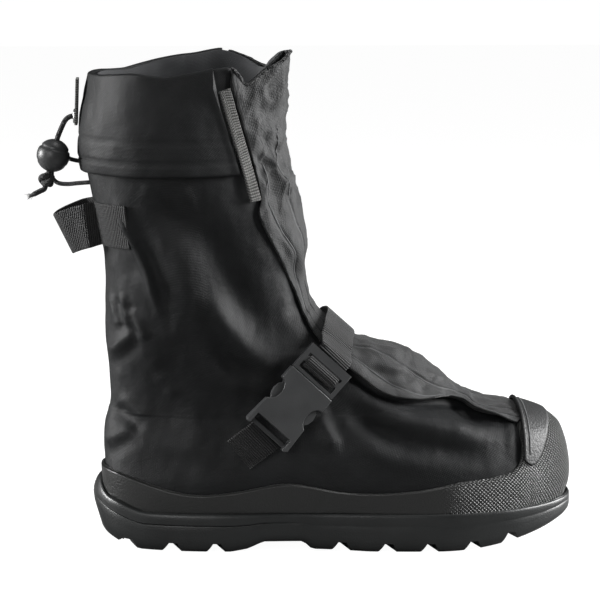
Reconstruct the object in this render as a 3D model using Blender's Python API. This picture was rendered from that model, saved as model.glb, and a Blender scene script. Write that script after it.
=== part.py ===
"""Winter overshoe for the right foot: a rubber cup sole with a textured rubber rand, a hollow fabric
upper with a turned-down collar cuff, a front closure panel, an instep strap with a side release
buckle, a pull loop at the back and a drawcord with a ball lock.

Metres, +X to the toe, +Z up. The outer side of the foot faces -Y. The origin is on the floor,
under the leg, at the middle of the heel tread.
"""

import math
from functools import lru_cache

import bmesh
import bpy
import numpy as np
from mathutils import Matrix, Vector

# Driving sizes
FOOT_LENGTH = 0.322
BALL_WIDTH = 0.116
BOOT_HEIGHT = 0.329
INSTEP_HEIGHT = 0.140
SHAFT_DEPTH = 0.140
SHAFT_WIDTH = 0.116
LEG_SHARE = 0.185

# Cup sole
SOLE_EDGE = 0.0048
HEEL_EDGE = 0.0042
FLOOR_HEIGHT = 0.012
RIM_HEIGHT = 0.0265
TOE_SPRING = 0.019
ARCH_RISE = 0.0068
LUG_HEIGHT = 0.0062
HEEL_RIM_RISE = 0.009
KICK_LEDGE_REACH = 0.0046
KICK_LEDGE_WIDTH = 0.052
KICK_LEDGE_RISE = 0.011
BAND_STEP = 0.0014
BAND_HEIGHT = 0.0075

# Walls and layers
FABRIC = 0.0020
RAND_RUBBER = 0.0022
PATCH_LEATHER = 0.0011
PANEL_FABRIC = 0.0018
CUFF_PUFF = 0.0042
CUFF_FLARE = 0.0014
INSOLE_THICKNESS = 0.005
CLEARANCE = 0.0003
LAYER_GAP = 0.0006

# Webbing, buckle and cord
WEBBING_WIDTH = 0.025
WEBBING_THICKNESS = 0.0015
LOOP_WIDTH = 0.030
LOOP_REACH = 0.0225
TAB_WIDTH = 0.022
TAB_HEIGHT = 0.031
TAB_THICKNESS = 0.0020
TAB_LEAN = math.radians(2)
BUCKLE_WIDTH = 0.036
FEMALE_LENGTH = 0.047
MALE_LENGTH = 0.021
BUCKLE_THICKNESS = 0.0090
TAPE_WIDTH = 0.0085
CORD_DIAMETER = 0.0036
LOOP_CORD_DIAMETER = 0.0030
LOCK_DIAMETER = 0.0225
KNOT_DIAMETER = 0.0125
CORD_ROOM = 0.0008
EYELET_DIAMETER = 0.010

# Mesh steps
COLUMNS = 36
SOLE_COLUMNS = 2 * COLUMNS
CURVE_STEP = 0.0005
WALK_SHARE = 0.6
OUTLINE_STEP = 0.011

# Sections of the foot, from the cup's floor up to the instep. Columns: height as a share of
# INSTEP_HEIGHT; back, front and widest place as shares of FOOT_LENGTH; outer and inner half width as
# shares of BALL_WIDTH; front and back roundness; waist; swing of the toe to the inner side, as a
# share of BALL_WIDTH.
FOOT_SECTIONS = (
    (0.088, 0.011, 0.980, 0.682, 0.475, 0.465, 2.40, 2.90, 0.16, 0.070),
    (0.193, 0.006, 0.994, 0.675, 0.490, 0.480, 2.40, 2.90, 0.15, 0.070),
    (0.321, 0.006, 1.000, 0.666, 0.500, 0.490, 2.40, 2.80, 0.11, 0.070),
    (0.429, 0.004, 0.995, 0.651, 0.487, 0.478, 2.35, 2.60, 0.07, 0.070),
    (0.514, 0.004, 0.984, 0.635, 0.466, 0.457, 2.30, 2.50, 0.04, 0.070),
    (0.553, 0.005, 0.973, 0.626, 0.452, 0.443, 2.20, 2.45, 0.02, 0.065),
    (0.595, 0.009, 0.946, 0.604, 0.433, 0.424, 2.15, 2.40, 0.01, 0.060),
    (0.623, 0.014, 0.913, 0.578, 0.420, 0.411, 2.10, 2.35, 0.00, 0.055),
    (0.643, 0.018, 0.875, 0.548, 0.409, 0.401, 2.05, 2.30, 0.00, 0.050),
    (0.659, 0.020, 0.835, 0.520, 0.401, 0.393, 2.05, 2.30, 0.00, 0.040),
    (0.674, 0.021, 0.803, 0.494, 0.396, 0.387, 2.05, 2.30, 0.00, 0.034),
    (0.707, 0.021, 0.777, 0.466, 0.392, 0.384, 2.05, 2.30, 0.00, 0.028),
    (0.764, 0.019, 0.744, 0.420, 0.388, 0.380, 2.05, 2.30, 0.00, 0.020),
    (0.843, 0.016, 0.697, 0.358, 0.384, 0.376, 2.05, 2.30, 0.00, 0.010),
    (0.909, 0.014, 0.655, 0.306, 0.384, 0.376, 2.05, 2.30, 0.00, 0.000),
    (0.950, 0.013, 0.612, 0.276, 0.388, 0.380, 2.05, 2.25, 0.00, 0.000),
    (0.984, 0.012, 0.545, 0.256, 0.392, 0.388, 2.05, 2.20, 0.00, 0.000),
)

# Sections of the shaft. Columns: height as a share of the way from the instep to the collar; back,
# front and widest place as shares of SHAFT_DEPTH from the leg's axis; half width as a share of
# SHAFT_WIDTH; roundness.
SHAFT_SECTIONS = (
    (0.052, -0.400, 0.694, 0.121, 0.405, 2.10),
    (0.115, -0.404, 0.608, 0.100, 0.418, 2.10),
    (0.190, -0.407, 0.575, 0.086, 0.431, 2.10),
    (0.260, -0.411, 0.562, 0.086, 0.448, 2.10),
    (0.340, -0.419, 0.572, 0.086, 0.461, 2.15),
    (0.443, -0.443, 0.545, 0.064, 0.474, 2.20),
    (0.563, -0.471, 0.500, 0.029, 0.487, 2.20),
    (0.688, -0.494, 0.452, -0.007, 0.496, 2.20),
    (0.833, -0.484, 0.452, -0.007, 0.500, 2.20),
    (1.000, -0.443, 0.452, -0.007, 0.500, 2.20),
)

# The collar's rim, by the angle round the leg. Columns: degrees from the toe towards the inner side;
# drop below BOOT_HEIGHT as a share of SHAFT_WIDTH.
RIM_WAVE = (
    (0, -0.025),
    (40, 0.020),
    (85, 0.005),
    (110, 0.045),
    (135, 0.075),
    (180, 0.072),
    (225, 0.060),
    (270, 0.050),
    (310, 0.010),
    (360, -0.025),
)

# The tread's height along the sole. Columns: share of FOOT_LENGTH; share of ARCH_RISE.
TREAD_RISE = (
    (-0.02, 1.70),
    (0.00, 1.30),
    (0.045, 0.35),
    (0.08, 0.00),
    (0.27, 0.00),
    (0.305, 0.30),
    (0.338, 1.00),
    (0.422, 1.00),
    (0.440, 0.22),
    (0.50, 0.14),
    (0.56, 0.00),
    (1.10, 0.00),
)
SPRING_START = 0.71

# The rand's top line seen from the side. Columns: share of FOOT_LENGTH; height as a share of
# INSTEP_HEIGHT.
RAND_TOP = (
    (-0.10, 0.390),
    (0.00, 0.385),
    (0.085, 0.335),
    (0.16, 0.290),
    (0.22, 0.280),
    (0.29, 0.300),
    (0.37, 0.335),
    (0.42, 0.330),
    (0.50, 0.295),
    (0.58, 0.288),
    (0.67, 0.305),
    (0.75, 0.340),
    (0.82, 0.355),
    (0.87, 0.385),
    (0.886, 0.460),
)
CAP_BACK = 0.882
CAP_BACK_TOP = 0.874

# The toe patch from the side: how far its half moon reaches forward, and its lower corner.
PATCH_FRONT = 0.952
PATCH_CORNER_HEIGHT = 0.455

# The front panel's outer edge from the side. Columns: share of FOOT_LENGTH; height as a share of
# BOOT_HEIGHT.
PANEL_EDGE = (
    (0.880, 0.250),
    (0.845, 0.258),
    (0.790, 0.272),
    (0.735, 0.298),
    (0.650, 0.302),
    (0.590, 0.320),
    (0.530, 0.362),
    (0.475, 0.410),
    (0.430, 0.470),
    (0.400, 0.545),
    (0.370, 0.610),
    (0.330, 0.690),
    (0.333, 0.735),
)
# The same edge above the tape's foot, where the flap leans back.
FLAP_EDGE = ((0.333, 0.735), (0.270, 0.960), (0.268, 1.050))

CUFF_BOTTOM = 0.785

# Edge grooves between the lugs, as shares of FOOT_LENGTH, and the blocks' cross grooves between them.
EDGE_GROOVES = (0.068, 0.155, 0.244, 0.505, 0.600, 0.6875, 0.781, 0.868)
CENTRE_GROOVES = (0.112, 0.268, 0.552, 0.644, 0.734, 0.824)
RAIL_RUNS = ((0.050, 0.275), (0.485, 0.895))
RAIL_GROOVE = 0.0045
GROOVE_ROOT = 0.0052
GROOVE_MOUTH = 0.0125
GROOVE_SLANT = math.radians(14)
RAIL_SHARE = 0.36
RIM_RECESS = 0.0008

# The strap's belt line over the instep, whose top is given in shares of FOOT_LENGTH and
# INSTEP_HEIGHT. Columns of its shift: distance down the side as a share of STRAP_REACH; shift forward
# as a share of WEBBING_WIDTH.
STRAP_REACH = 0.112
STRAP_TILT = math.radians(42)
STRAP_SHIFT = ((0.00, 0.05), (0.14, 0.30), (0.45, 0.34), (0.75, 0.28), (1.00, 0.10))
STRAP_TOP = (0.498, 1.0622)
BELT_ROWS = (2.0, 22.0)
BUCKLE_START = 0.150
RIGID_GAP = 0.0006
TAB_GAP = 0.0005
STRAP_GAP = 0.0005
ANCHOR_FOOT = 0.0016


def x_of(share):
    """A place along the foot, from the heel's back (0) to the toe's tip (1)."""
    return (share - LEG_SHARE) * FOOT_LENGTH


def share_of(x):
    return x / FOOT_LENGTH + LEG_SHARE


def table(rows, at, column=1):
    """Reads a column of a small table along its first one."""
    rows = sorted(rows)
    return np.interp(at, [r[0] for r in rows], [r[column] for r in rows])


def all_sections():
    """Every section in metres: height, back, front, widest, outer, inner, front and back roundness,
    waist, swing."""
    rows = []
    for h, b, f, w, lat, med, nf, nb, waist, swing in FOOT_SECTIONS:
        rows.append((h * INSTEP_HEIGHT, x_of(b), x_of(f), x_of(w), lat * BALL_WIDTH,
                     med * BALL_WIDTH, nf, nb, waist, swing * BALL_WIDTH))
    shaft = BOOT_HEIGHT - INSTEP_HEIGHT
    for h, b, f, w, half, n in SHAFT_SECTIONS:
        rows.append((INSTEP_HEIGHT + h * shaft, b * SHAFT_DEPTH, f * SHAFT_DEPTH, w * SHAFT_DEPTH,
                     half * SHAFT_WIDTH, half * SHAFT_WIDTH, n, n, 0.0, 0.0))
    return np.array(rows)


SECTIONS = all_sections()
TOP_LEVEL = len(SECTIONS) - 1


@lru_cache(maxsize=None)
def section(level):
    """The section at a level counted in rows, on a smooth curve through the rows."""
    i = int(min(max(math.floor(level), 0), TOP_LEVEL - 1))
    u = level - i
    p0, p1 = SECTIONS[max(i - 1, 0)], SECTIONS[i]
    p2, p3 = SECTIONS[i + 1], SECTIONS[min(i + 2, TOP_LEVEL)]
    m1, m2 = (p2 - p0) / 2, (p3 - p1) / 2
    return ((2 * u**3 - 3 * u**2 + 1) * p1 + (u**3 - 2 * u**2 + u) * m1
            + (3 * u**2 - 2 * u**3) * p2 + (u**3 - u**2) * m2)


def smooth_step(value, low, high):
    u = min(max((value - low) / (high - low), 0.0), 1.0)
    return u * u * (3 - 2 * u)


def spring(x):
    """How far the toe lifts off the floor."""
    return TOE_SPRING * max(0.0, (share_of(x) - SPRING_START) / (1 - SPRING_START)) ** 2


def tread_height(x):
    return ARCH_RISE * float(table(TREAD_RISE, share_of(x))) + spring(x)


def cup_floor(x):
    return FLOOR_HEIGHT + 0.6 * spring(x)


def rim_height(x):
    """The top edge of the cup sole, which climbs round the heel."""
    heel = smooth_step(x_of(0.10) - x, 0.0, 0.10 * FOOT_LENGTH)
    return RIM_HEIGHT + 0.18 * spring(x) + HEEL_RIM_RISE * heel


def ledge_bell(x, y):
    """1 at the middle of the heel's back, 0 at the kick ledge's sides."""
    if x > x_of(0.12):
        return 0.0
    return smooth_step(KICK_LEDGE_WIDTH / 2 - abs(y), 0.0, KICK_LEDGE_WIDTH / 2)


def form_point(level, angle):
    """A point of the upper's outer face. The angle runs from the toe round the inner side."""
    z, back, front, widest, outer, inner, nf, nb, waist, swing = section(level)
    c, s = math.cos(angle), math.sin(angle)
    n = nf if c >= 0 else nb
    along = math.copysign(abs(c) ** (2 / n), c)
    x = widest + along * ((front - widest) if along > 0 else (widest - back))
    half = inner if s >= 0 else outer
    side = 1.35 if s >= 0 else 0.75
    pinch = 1 - waist * side * math.exp(-(((share_of(x) - 0.42) / 0.17) ** 2))
    y = math.copysign(abs(s) ** (2 / n), s) * half * pinch
    y += swing * max(0.0, along) ** 2
    low = 1 - smooth_step(z, SECTIONS[0][0], SECTIONS[2][0])
    lift = (cup_floor(x) + CLEARANCE - SECTIONS[0][0]) * low
    high = smooth_step(z, BOOT_HEIGHT * 0.86, BOOT_HEIGHT)
    drop = float(table(RIM_WAVE, math.degrees(angle) % 360)) * SHAFT_WIDTH * high
    return np.array((x, y, z + lift - drop))


@lru_cache(maxsize=None)
def form(level, angle, out=0.0):
    """The upper's outer face moved out by a distance along its normal."""
    here = form_point(level, angle)
    if out == 0.0:
        return here
    step = 0.02
    across = form_point(level, angle + step) - form_point(level, angle - step)
    up = form_point(min(level + step, TOP_LEVEL), angle) - form_point(max(level - step, 0), angle)
    normal = np.cross(across, up)
    if level < 2 or level > TOP_LEVEL - 1:
        normal[2] = 0.0
    return here + normal * (out / np.linalg.norm(normal))


def skin(level, angle, out=0.0):
    """A point of the upper's faceted face, straight between its rows, moved out by a distance."""
    low = int(min(math.floor(level), TOP_LEVEL - 1))
    u = level - low
    if u < 1e-9:
        return form(low, angle, out)
    return form(low, angle, out) * (1 - u) + form(low + 1, angle, out) * u


def level_at(z):
    """The level whose section has this height."""
    low, high = 0.0, float(TOP_LEVEL)
    for _ in range(30):
        mid = (low + high) / 2
        if section(mid)[0] < z:
            low = mid
        else:
            high = mid
    return (low + high) / 2


def finish_mesh(bm, name, material, smooth_angle=35):
    bmesh.ops.recalc_face_normals(bm, faces=bm.faces[:])
    mesh = bpy.data.meshes.new(name)
    bm.to_mesh(mesh)
    bm.free()
    mesh.shade_smooth()
    mesh.set_sharp_from_angle(angle=math.radians(smooth_angle))
    mesh.materials.append(material)
    obj = bpy.data.objects.new(name, mesh)
    bpy.context.scene.collection.objects.link(obj)
    return obj


def loft(rings, closed_along=False, caps="none"):
    """Joins rings of equal length with pairs of triangles. closed_along joins the last ring to the
    first, and caps fills the end rings, as one face or as a ladder of quads across a ring that is
    even about x. Every layer splits its quads the same way, so that layers stay parallel."""
    bm = bmesh.new()
    verts = [[bm.verts.new(p) for p in ring] for ring in rings]
    n = len(rings[0])
    pairs = list(zip(verts, verts[1:]))
    if closed_along:
        pairs.append((verts[-1], verts[0]))
    for a, b in pairs:
        for i in range(n):
            bm.faces.new((a[i], a[(i + 1) % n], b[(i + 1) % n]))
            bm.faces.new((a[i], b[(i + 1) % n], b[i]))
    for ring in (verts[0], verts[-1]) if caps != "none" else ():
        if caps == "face":
            bm.faces.new(ring)
            continue
        half = n // 2
        bm.faces.new((ring[0], ring[1], ring[n - 1]))
        for i in range(1, half - 1):
            bm.faces.new((ring[i], ring[i + 1], ring[n - i - 1], ring[n - i]))
        bm.faces.new((ring[half - 1], ring[half], ring[half + 1]))
    return bm


def prism(outline, low, high, axis="Y"):
    """A closed prism of a side outline, as (x, z) pairs, from one y to another, or of a plan."""
    bm = bmesh.new()
    place = (lambda a, b, t: (a, t, b)) if axis == "Y" else (lambda a, b, t: (a, b, t))
    near = [bm.verts.new(place(a, b, low)) for a, b in outline]
    far = [bm.verts.new(place(a, b, high)) for a, b in outline]
    n = len(outline)
    bm.faces.new(near)
    bm.faces.new(far)
    for i in range(n):
        bm.faces.new((near[i], near[(i + 1) % n], far[(i + 1) % n], far[i]))
    return bm


def combine(obj, bm, operation):
    """Cuts or joins a closed bmesh with an object and keeps the result as its mesh."""
    tool = finish_mesh(bm, "tool", obj.data.materials[0])
    modifier = obj.modifiers.new(operation.title(), "BOOLEAN")
    modifier.operation = operation
    modifier.solver = "EXACT"
    modifier.object = tool
    evaluated = obj.evaluated_get(bpy.context.evaluated_depsgraph_get())
    result = bpy.data.meshes.new_from_object(evaluated)
    obj.modifiers.clear()
    old = obj.data
    obj.data = result
    result.name = obj.name
    bpy.data.meshes.remove(old)
    bpy.data.objects.remove(tool)


def tidy(obj, smooth_angle=35, merge=CURVE_STEP / 10):
    """Merges the slivers that a cut leaves and sets the shading."""
    bm = bmesh.new()
    bm.from_mesh(obj.data)
    bmesh.ops.remove_doubles(bm, verts=bm.verts[:], dist=merge)
    bmesh.ops.dissolve_degenerate(bm, edges=bm.edges[:], dist=merge)
    bmesh.ops.triangulate(bm, faces=[f for f in bm.faces if len(f.verts) > 4])
    bmesh.ops.recalc_face_normals(bm, faces=bm.faces[:])
    bm.to_mesh(obj.data)
    bm.free()
    obj.data.shade_smooth()
    obj.data.set_sharp_from_angle(angle=math.radians(smooth_angle))


def material(name, colour, roughness, metallic=0.0):
    made = bpy.data.materials.new(name)
    made.use_nodes = True
    shader = made.node_tree.nodes["Principled BSDF"]
    shader.inputs["Base Color"].default_value = (*colour, 1.0)
    shader.inputs["Roughness"].default_value = roughness
    shader.inputs["Metallic"].default_value = metallic
    return made


@lru_cache
def ring_angles(count=COLUMNS):
    """Angles round a section, even about the x axis, set by a mix of turn and of the way walked
    round the foot, so that the long sides get points too. Twice the count keeps every point."""
    turn = np.linspace(0, math.pi, 181)
    walk = [form_point(2.0, a) for a in turn]
    run = np.concatenate(([0.0], np.cumsum(np.linalg.norm(np.diff(walk, axis=0), axis=1))))
    share = WALK_SHARE * run / run[-1] + (1 - WALK_SHARE) * turn / math.pi
    half = list(np.interp(np.linspace(0, 1, count // 2 + 1), share, turn))
    return tuple(half + [2 * math.pi - a for a in half[-2:0:-1]])


def plan_outward(angle, out, level=1.0):
    """A point of the sole's outline: the form's plan moved out level with the floor."""
    here = form_point(level, angle)
    step = 0.02
    run = form_point(level, angle + step) - form_point(level, angle - step)
    normal = np.array((run[1], -run[0], 0.0))
    return here + normal * (out / np.linalg.norm(normal))


def sole_edge(x):
    """How far the sole's side stands out from the foot, less at the heel's back."""
    return HEEL_EDGE + (SOLE_EDGE - HEEL_EDGE) * smooth_step(x, x_of(0.0), x_of(0.10))


def sole_ring(height_share, inset, band):
    """One ring of the sole's outer side. height_share runs from the tread (0) to the rim (1)."""
    ring = []
    for angle in ring_angles(SOLE_COLUMNS):
        x, y, _ = plan_outward(angle, 0.0)
        bell = ledge_bell(x, y)
        low, top = tread_height(x), rim_height(x) + bell * KICK_LEDGE_RISE
        fade = 1 - smooth_step(x, x_of(0.28), x_of(0.44))
        swell = min(max((height_share - 0.15) / 0.85, 0.0), 1.0) ** 1.3
        out = sole_edge(x) - inset + band * BAND_STEP * fade * (1 - bell)
        out += KICK_LEDGE_REACH * bell * math.sin(math.pi * swell)
        p = plan_outward(angle, out)
        ring.append((p[0], p[1], low + (top - low) * height_share))
    return ring


def cup_ring(out, height):
    """One ring of the cup's inside, at a height that depends on x and y. It keeps to the upper's flat
    facets, and where it climbs above the second section it follows the foot there."""
    corners = []
    for angle in ring_angles():
        x, y, _ = plan_outward(angle, out)
        level = min(max(level_at(height(x, y)), 1.0), 2.0)
        corners.append(plan_outward(angle, out, level))
    ring = []
    for here, after in zip(corners, corners[1:] + corners[:1]):
        for x, y, _ in (here, (here + after) / 2):
            ring.append((x, y, height(x, y)))
    return ring


def build_outsole(rubber):
    lip = LAYER_GAP + RAND_RUBBER + CLEARANCE
    band_share = 1 - BAND_HEIGHT / RIM_HEIGHT
    rings = [
        sole_ring(0.00, 0.0040, 0),
        sole_ring(0.10, 0.0012, 0),
        sole_ring(0.30, 0.0000, 0),
        sole_ring(0.50, 0.0000, 0),
        sole_ring(band_share - 0.04, 0.0000, 0),
        sole_ring(band_share, 0.0000, 1),
        sole_ring(0.86, 0.0000, 1),
        sole_ring(0.95, 0.0002, 1),
        sole_ring(1.00, 0.0006, 1),
        cup_ring(lip, lambda x, y: rim_height(x) + ledge_bell(x, y) * KICK_LEDGE_RISE),
        cup_ring(lip, lambda x, y: rim_height(x) - RIM_RECESS),
        cup_ring(CLEARANCE, lambda x, y: rim_height(x) - RIM_RECESS),
        cup_ring(CLEARANCE, lambda x, y: cup_floor(x)),
    ]
    sole = finish_mesh(loft(rings, caps="ladder"), "outsole", rubber, 40)
    for side in (-1, 1):
        for share in EDGE_GROOVES:
            combine(sole, groove(x_of(share), side, RAIL_SHARE * BALL_WIDTH / 2, BALL_WIDTH), "DIFFERENCE")
        for run in RAIL_RUNS:
            combine(sole, rail_groove(run, side), "DIFFERENCE")
    for share in CENTRE_GROOVES:
        combine(sole, centre_groove(x_of(share)), "DIFFERENCE")
    tidy(sole, 40)
    return sole


def rail_groove(run, side):
    """A groove along the sole between the edge lugs and the centre blocks."""
    xs = np.linspace(x_of(run[0]), x_of(run[1]), 10)
    outline = [(x, tread_height(x) + LUG_HEIGHT * 0.85) for x in xs]
    outline += [(xs[-1] + LUG_HEIGHT, -LUG_HEIGHT), (xs[0] - LUG_HEIGHT, -LUG_HEIGHT)]
    inner = RAIL_SHARE * BALL_WIDTH / 2 - RAIL_GROOVE
    low, high = sorted((side * inner, side * (inner + RAIL_GROOVE + CLEARANCE)))
    return prism(outline, low, high)


def groove(x, side, start, stop):
    """A slanted groove with a narrow root, from inside the edge out through the sole's side."""
    root = tread_height(x) + LUG_HEIGHT
    under = -LUG_HEIGHT
    flare = (GROOVE_MOUTH - GROOVE_ROOT) / 2 * (root - under) / LUG_HEIGHT
    profile = ((-GROOVE_ROOT / 2, root), (GROOVE_ROOT / 2, root),
               (GROOVE_ROOT / 2 + flare, under), (-GROOVE_ROOT / 2 - flare, under))
    bm = prism(profile, start, stop)
    turn = Matrix.Rotation(-GROOVE_SLANT, 4, "Z")
    bmesh.ops.transform(bm, matrix=turn, verts=bm.verts[:])
    shift = math.tan(GROOVE_SLANT) * BALL_WIDTH / 2
    bmesh.ops.transform(bm, matrix=Matrix.Translation((x - shift, 0, 0)), verts=bm.verts[:])
    if side < 0:
        bmesh.ops.scale(bm, vec=(1, -1, 1), verts=bm.verts[:])
        bmesh.ops.reverse_faces(bm, faces=bm.faces[:])
    return bm


def centre_groove(x):
    """A short cross groove between the two rows of edge lugs."""
    half = RAIL_SHARE * BALL_WIDTH / 2 - RAIL_GROOVE * 0.5
    root = tread_height(x) + LUG_HEIGHT
    profile = ((-GROOVE_ROOT / 2, root), (GROOVE_ROOT / 2, root),
               (GROOVE_ROOT, -LUG_HEIGHT), (-GROOVE_ROOT, -LUG_HEIGHT))
    bm = prism(profile, -half, half)
    bmesh.ops.transform(bm, matrix=Matrix.Translation((x, 0, 0)), verts=bm.verts[:])
    return bm


def build_upper(fabric):
    levels = range(len(SECTIONS))
    outer = [[form(level, a) for a in ring_angles()] for level in levels]
    inner = [[form(level, a, -FABRIC) for a in ring_angles()] for level in levels]
    return finish_mesh(loft(outer + inner[::-1], closed_along=True), "upper", fabric, 60)


def shell(low, high, inside, outside):
    """A closed band between two larger forms, over a range of the upper's rows. outside may depend
    on the level."""
    far = outside if callable(outside) else (lambda level: outside)
    levels = sorted({low, high} | {float(i) for i in range(len(SECTIONS)) if low < i < high})
    outer = [[skin(level, a, far(level)) for a in ring_angles()] for level in levels]
    inner = [[skin(level, a, inside) for a in ring_angles()] for level in levels]
    return loft(outer + inner[::-1], closed_along=True)


def build_rand(rubber):
    """The textured rubber wall and toe cap: a shell of the form kept under the rand's top line."""
    inside = LAYER_GAP
    bm = shell(0.4, 11.0, inside, inside + RAND_RUBBER)
    rand = finish_mesh(bm, "rand", rubber, 50)
    top = eased([(x_of(s), h * INSTEP_HEIGHT) for s, h in RAND_TOP])
    bottom = [(x_of(share), rim_height(x_of(share)) - RIM_RECESS + LAYER_GAP)
              for share in [*np.linspace(1.05, 0.14, 14), *np.linspace(0.12, -0.02, 15), -0.10]]
    cap = [(x_of(CAP_BACK), INSTEP_HEIGHT * 0.56), (x_of(CAP_BACK_TOP), INSTEP_HEIGHT * 0.80),
           (x_of(1.05), INSTEP_HEIGHT * 0.80)]
    combine(rand, prism(top + cap + bottom, -BALL_WIDTH, BALL_WIDTH), "INTERSECT")
    tidy(rand, 50)
    return rand


def build_toe_patch(leather):
    """A half moon laid over the cap's top, straight along the cap's back edge."""
    inside = LAYER_GAP + RAND_RUBBER + CLEARANCE
    patch = finish_mesh(shell(3.0, 11.0, inside, inside + PATCH_LEATHER), "toe_patch", leather, 50)
    back, front = x_of(CAP_BACK) + 0.0012, x_of(PATCH_FRONT)
    corner = BALL_WIDTH * 0.40
    plan = [(back, -corner), (back, corner)]
    for i in range(1, 14):
        turn = math.pi * (0.5 - i / 14)
        plan.append((back + (front - back) * math.cos(turn), corner * math.sin(turn)))
    low = PATCH_CORNER_HEIGHT * INSTEP_HEIGHT
    combine(patch, prism(plan, low, INSTEP_HEIGHT, "Z"), "INTERSECT")
    tidy(patch, 50)
    return patch


def panel_edge(shift=0.0):
    """The front panel's edge in the side view, from the toe cap up to the collar."""
    low = eased([(x_of(s) + shift, h * BOOT_HEIGHT) for s, h in PANEL_EDGE])
    return low + [(x_of(s) + shift, h * BOOT_HEIGHT) for s, h in FLAP_EDGE[1:]]


def build_front_panel(fabric):
    """The closure panel that lies over the front, from the toe cap to the collar."""
    inside = LAYER_GAP
    bm = shell(5.0, TOP_LEVEL, inside, inside + PANEL_FABRIC)
    panel = finish_mesh(bm, "front_panel", fabric, 60)
    ahead = x_of(CAP_BACK_TOP) - 0.0015
    outline = panel_edge() + [(ahead + 0.02, BOOT_HEIGHT * 1.05), (ahead, INSTEP_HEIGHT * 0.80),
                              (x_of(CAP_BACK) - 0.0015, PANEL_EDGE[0][1] * BOOT_HEIGHT)]
    outline[0] = (x_of(CAP_BACK) - 0.0015, PANEL_EDGE[0][1] * BOOT_HEIGHT)
    outline.pop()
    combine(panel, prism(outline, -BALL_WIDTH, BALL_WIDTH), "INTERSECT")
    tidy(panel, 60)
    return panel


def cuff_out(level):
    """How far the cuff's face stands off the upper, more along its lower edge."""
    return CLEARANCE + CUFF_PUFF + CUFF_FLARE * smooth_step(TOP_LEVEL - level, 0.5, 2.5)


def cuff_face(z, angle):
    """A point of the cuff's faceted outer face at a height."""
    level = level_at(z)
    low, high = math.floor(level), math.floor(level) + 1
    foot, head = form(low, angle, cuff_out(low)), form(high, angle, cuff_out(high))
    return foot + (head - foot) * (level - low)


def build_cuff(fabric):
    """The turned-down collar, standing off the shaft, behind the closure flap on both sides."""
    low = level_at(BOOT_HEIGHT * CUFF_BOTTOM)
    cuff = finish_mesh(shell(low, TOP_LEVEL, CLEARANCE, cuff_out), "collar_cuff", fabric, 60)
    gap = 0.0030
    tape = TAPE_WIDTH
    outer = [(x - tape - gap, z) for x, z in [(x_of(s), h * BOOT_HEIGHT) for s, h in FLAP_EDGE]]
    inner = [(x - gap, z) for x, z in [(x_of(s), h * BOOT_HEIGHT) for s, h in FLAP_EDGE]]
    far = x_of(-0.2)
    for side, edge in ((-1, outer), (1, inner)):
        outline = edge + [(far, BOOT_HEIGHT * 1.05), (far, FLAP_EDGE[0][1] * BOOT_HEIGHT)]
        keep = prism(outline, min(0, side * SHAFT_WIDTH), max(0, side * SHAFT_WIDTH))
        if side < 0:
            halves = keep
        else:
            joined = finish_mesh(halves, "keep", fabric)
            combine(joined, keep, "UNION")
    bm = bmesh.new()
    bm.from_mesh(joined.data)
    bpy.data.objects.remove(joined)
    combine(cuff, bm, "INTERSECT")
    tidy(cuff, 60)
    return cuff


def build_hook_tape(webbing):
    """The ribbed fastening tape along the flap's outer edge."""
    inside = CLEARANCE
    bm = shell(level_at(BOOT_HEIGHT * 0.70), TOP_LEVEL, inside, inside + PANEL_FABRIC + 0.001)
    tape = finish_mesh(bm, "hook_tape", webbing, 50)
    foot, head = FLAP_EDGE[0], FLAP_EDGE[1]
    right = [(x_of(foot[0]) - CLEARANCE * 1.5, foot[1] * BOOT_HEIGHT),
             (x_of(head[0]) - CLEARANCE * 1.5, head[1] * BOOT_HEIGHT)]
    left = [(x - TAPE_WIDTH, z - TAPE_WIDTH * 0.5) for x, z in right[::-1]]
    combine(tape, prism(right + left, -SHAFT_WIDTH, 0.0), "INTERSECT")
    tidy(tape, 50)
    return tape


def build_insole(foam):
    inset = -FABRIC - 2 * CLEARANCE
    rings = []
    for top in (0.0, INSOLE_THICKNESS):
        points = [form(0, a, inset) for a in ring_angles()]
        rings.append([(p[0], p[1], cup_floor(p[0]) + CLEARANCE + top) for p in points])
    return finish_mesh(loft(rings, caps="ladder"), "insole", foam, 40)


# Belt line of the strap

BELT_WIDE = np.array((math.cos(STRAP_TILT), 0.0, -math.sin(STRAP_TILT)))
BELT_DOWN = np.array((-math.sin(STRAP_TILT), 0.0, -math.cos(STRAP_TILT)))


def belt_centre(s):
    """The middle of the belt line in the side view, s metres below the ridge of the instep."""
    top = np.array((x_of(STRAP_TOP[0]), 0.0, STRAP_TOP[1] * INSTEP_HEIGHT))
    shift = float(table(STRAP_SHIFT, s / STRAP_REACH)) * WEBBING_WIDTH
    return top + BELT_DOWN * s + BELT_WIDE * shift


def belt_shadow(out):
    """Where the form, moved out, lies under the belt's width, as (distance down, y) pairs."""
    top = np.array((x_of(STRAP_TOP[0]), 0.0, STRAP_TOP[1] * INSTEP_HEIGHT))
    found = []
    for level in np.arange(BELT_ROWS[0], BELT_ROWS[1], 0.2):
        for angle in np.radians(np.arange(-160, 160, 2.5)):
            p = skin(level, angle, out) - top
            s = p.dot(BELT_DOWN)
            if s > STRAP_REACH:
                continue
            shift = float(table(STRAP_SHIFT, s / STRAP_REACH)) * WEBBING_WIDTH
            if abs(p.dot(BELT_WIDE) - shift) < WEBBING_WIDTH / 2 + 0.001:
                found.append((s, p[1]))
    return found


@lru_cache
def taut_belt(out):
    """The belt line as a taut curve over the form, from the outer side's end over the ridge to the
    inner side's end, as (distance down, y) pairs."""
    hull = []
    for s, y in sorted(belt_shadow(out), key=lambda p: (p[1], -p[0])):
        while len(hull) > 1 and cross2(hull[-2], hull[-1], (-s, y)) >= 0:
            hull.pop()
        hull.append((-s, y))
    return [(-a, y) for a, y in hull]


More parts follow.
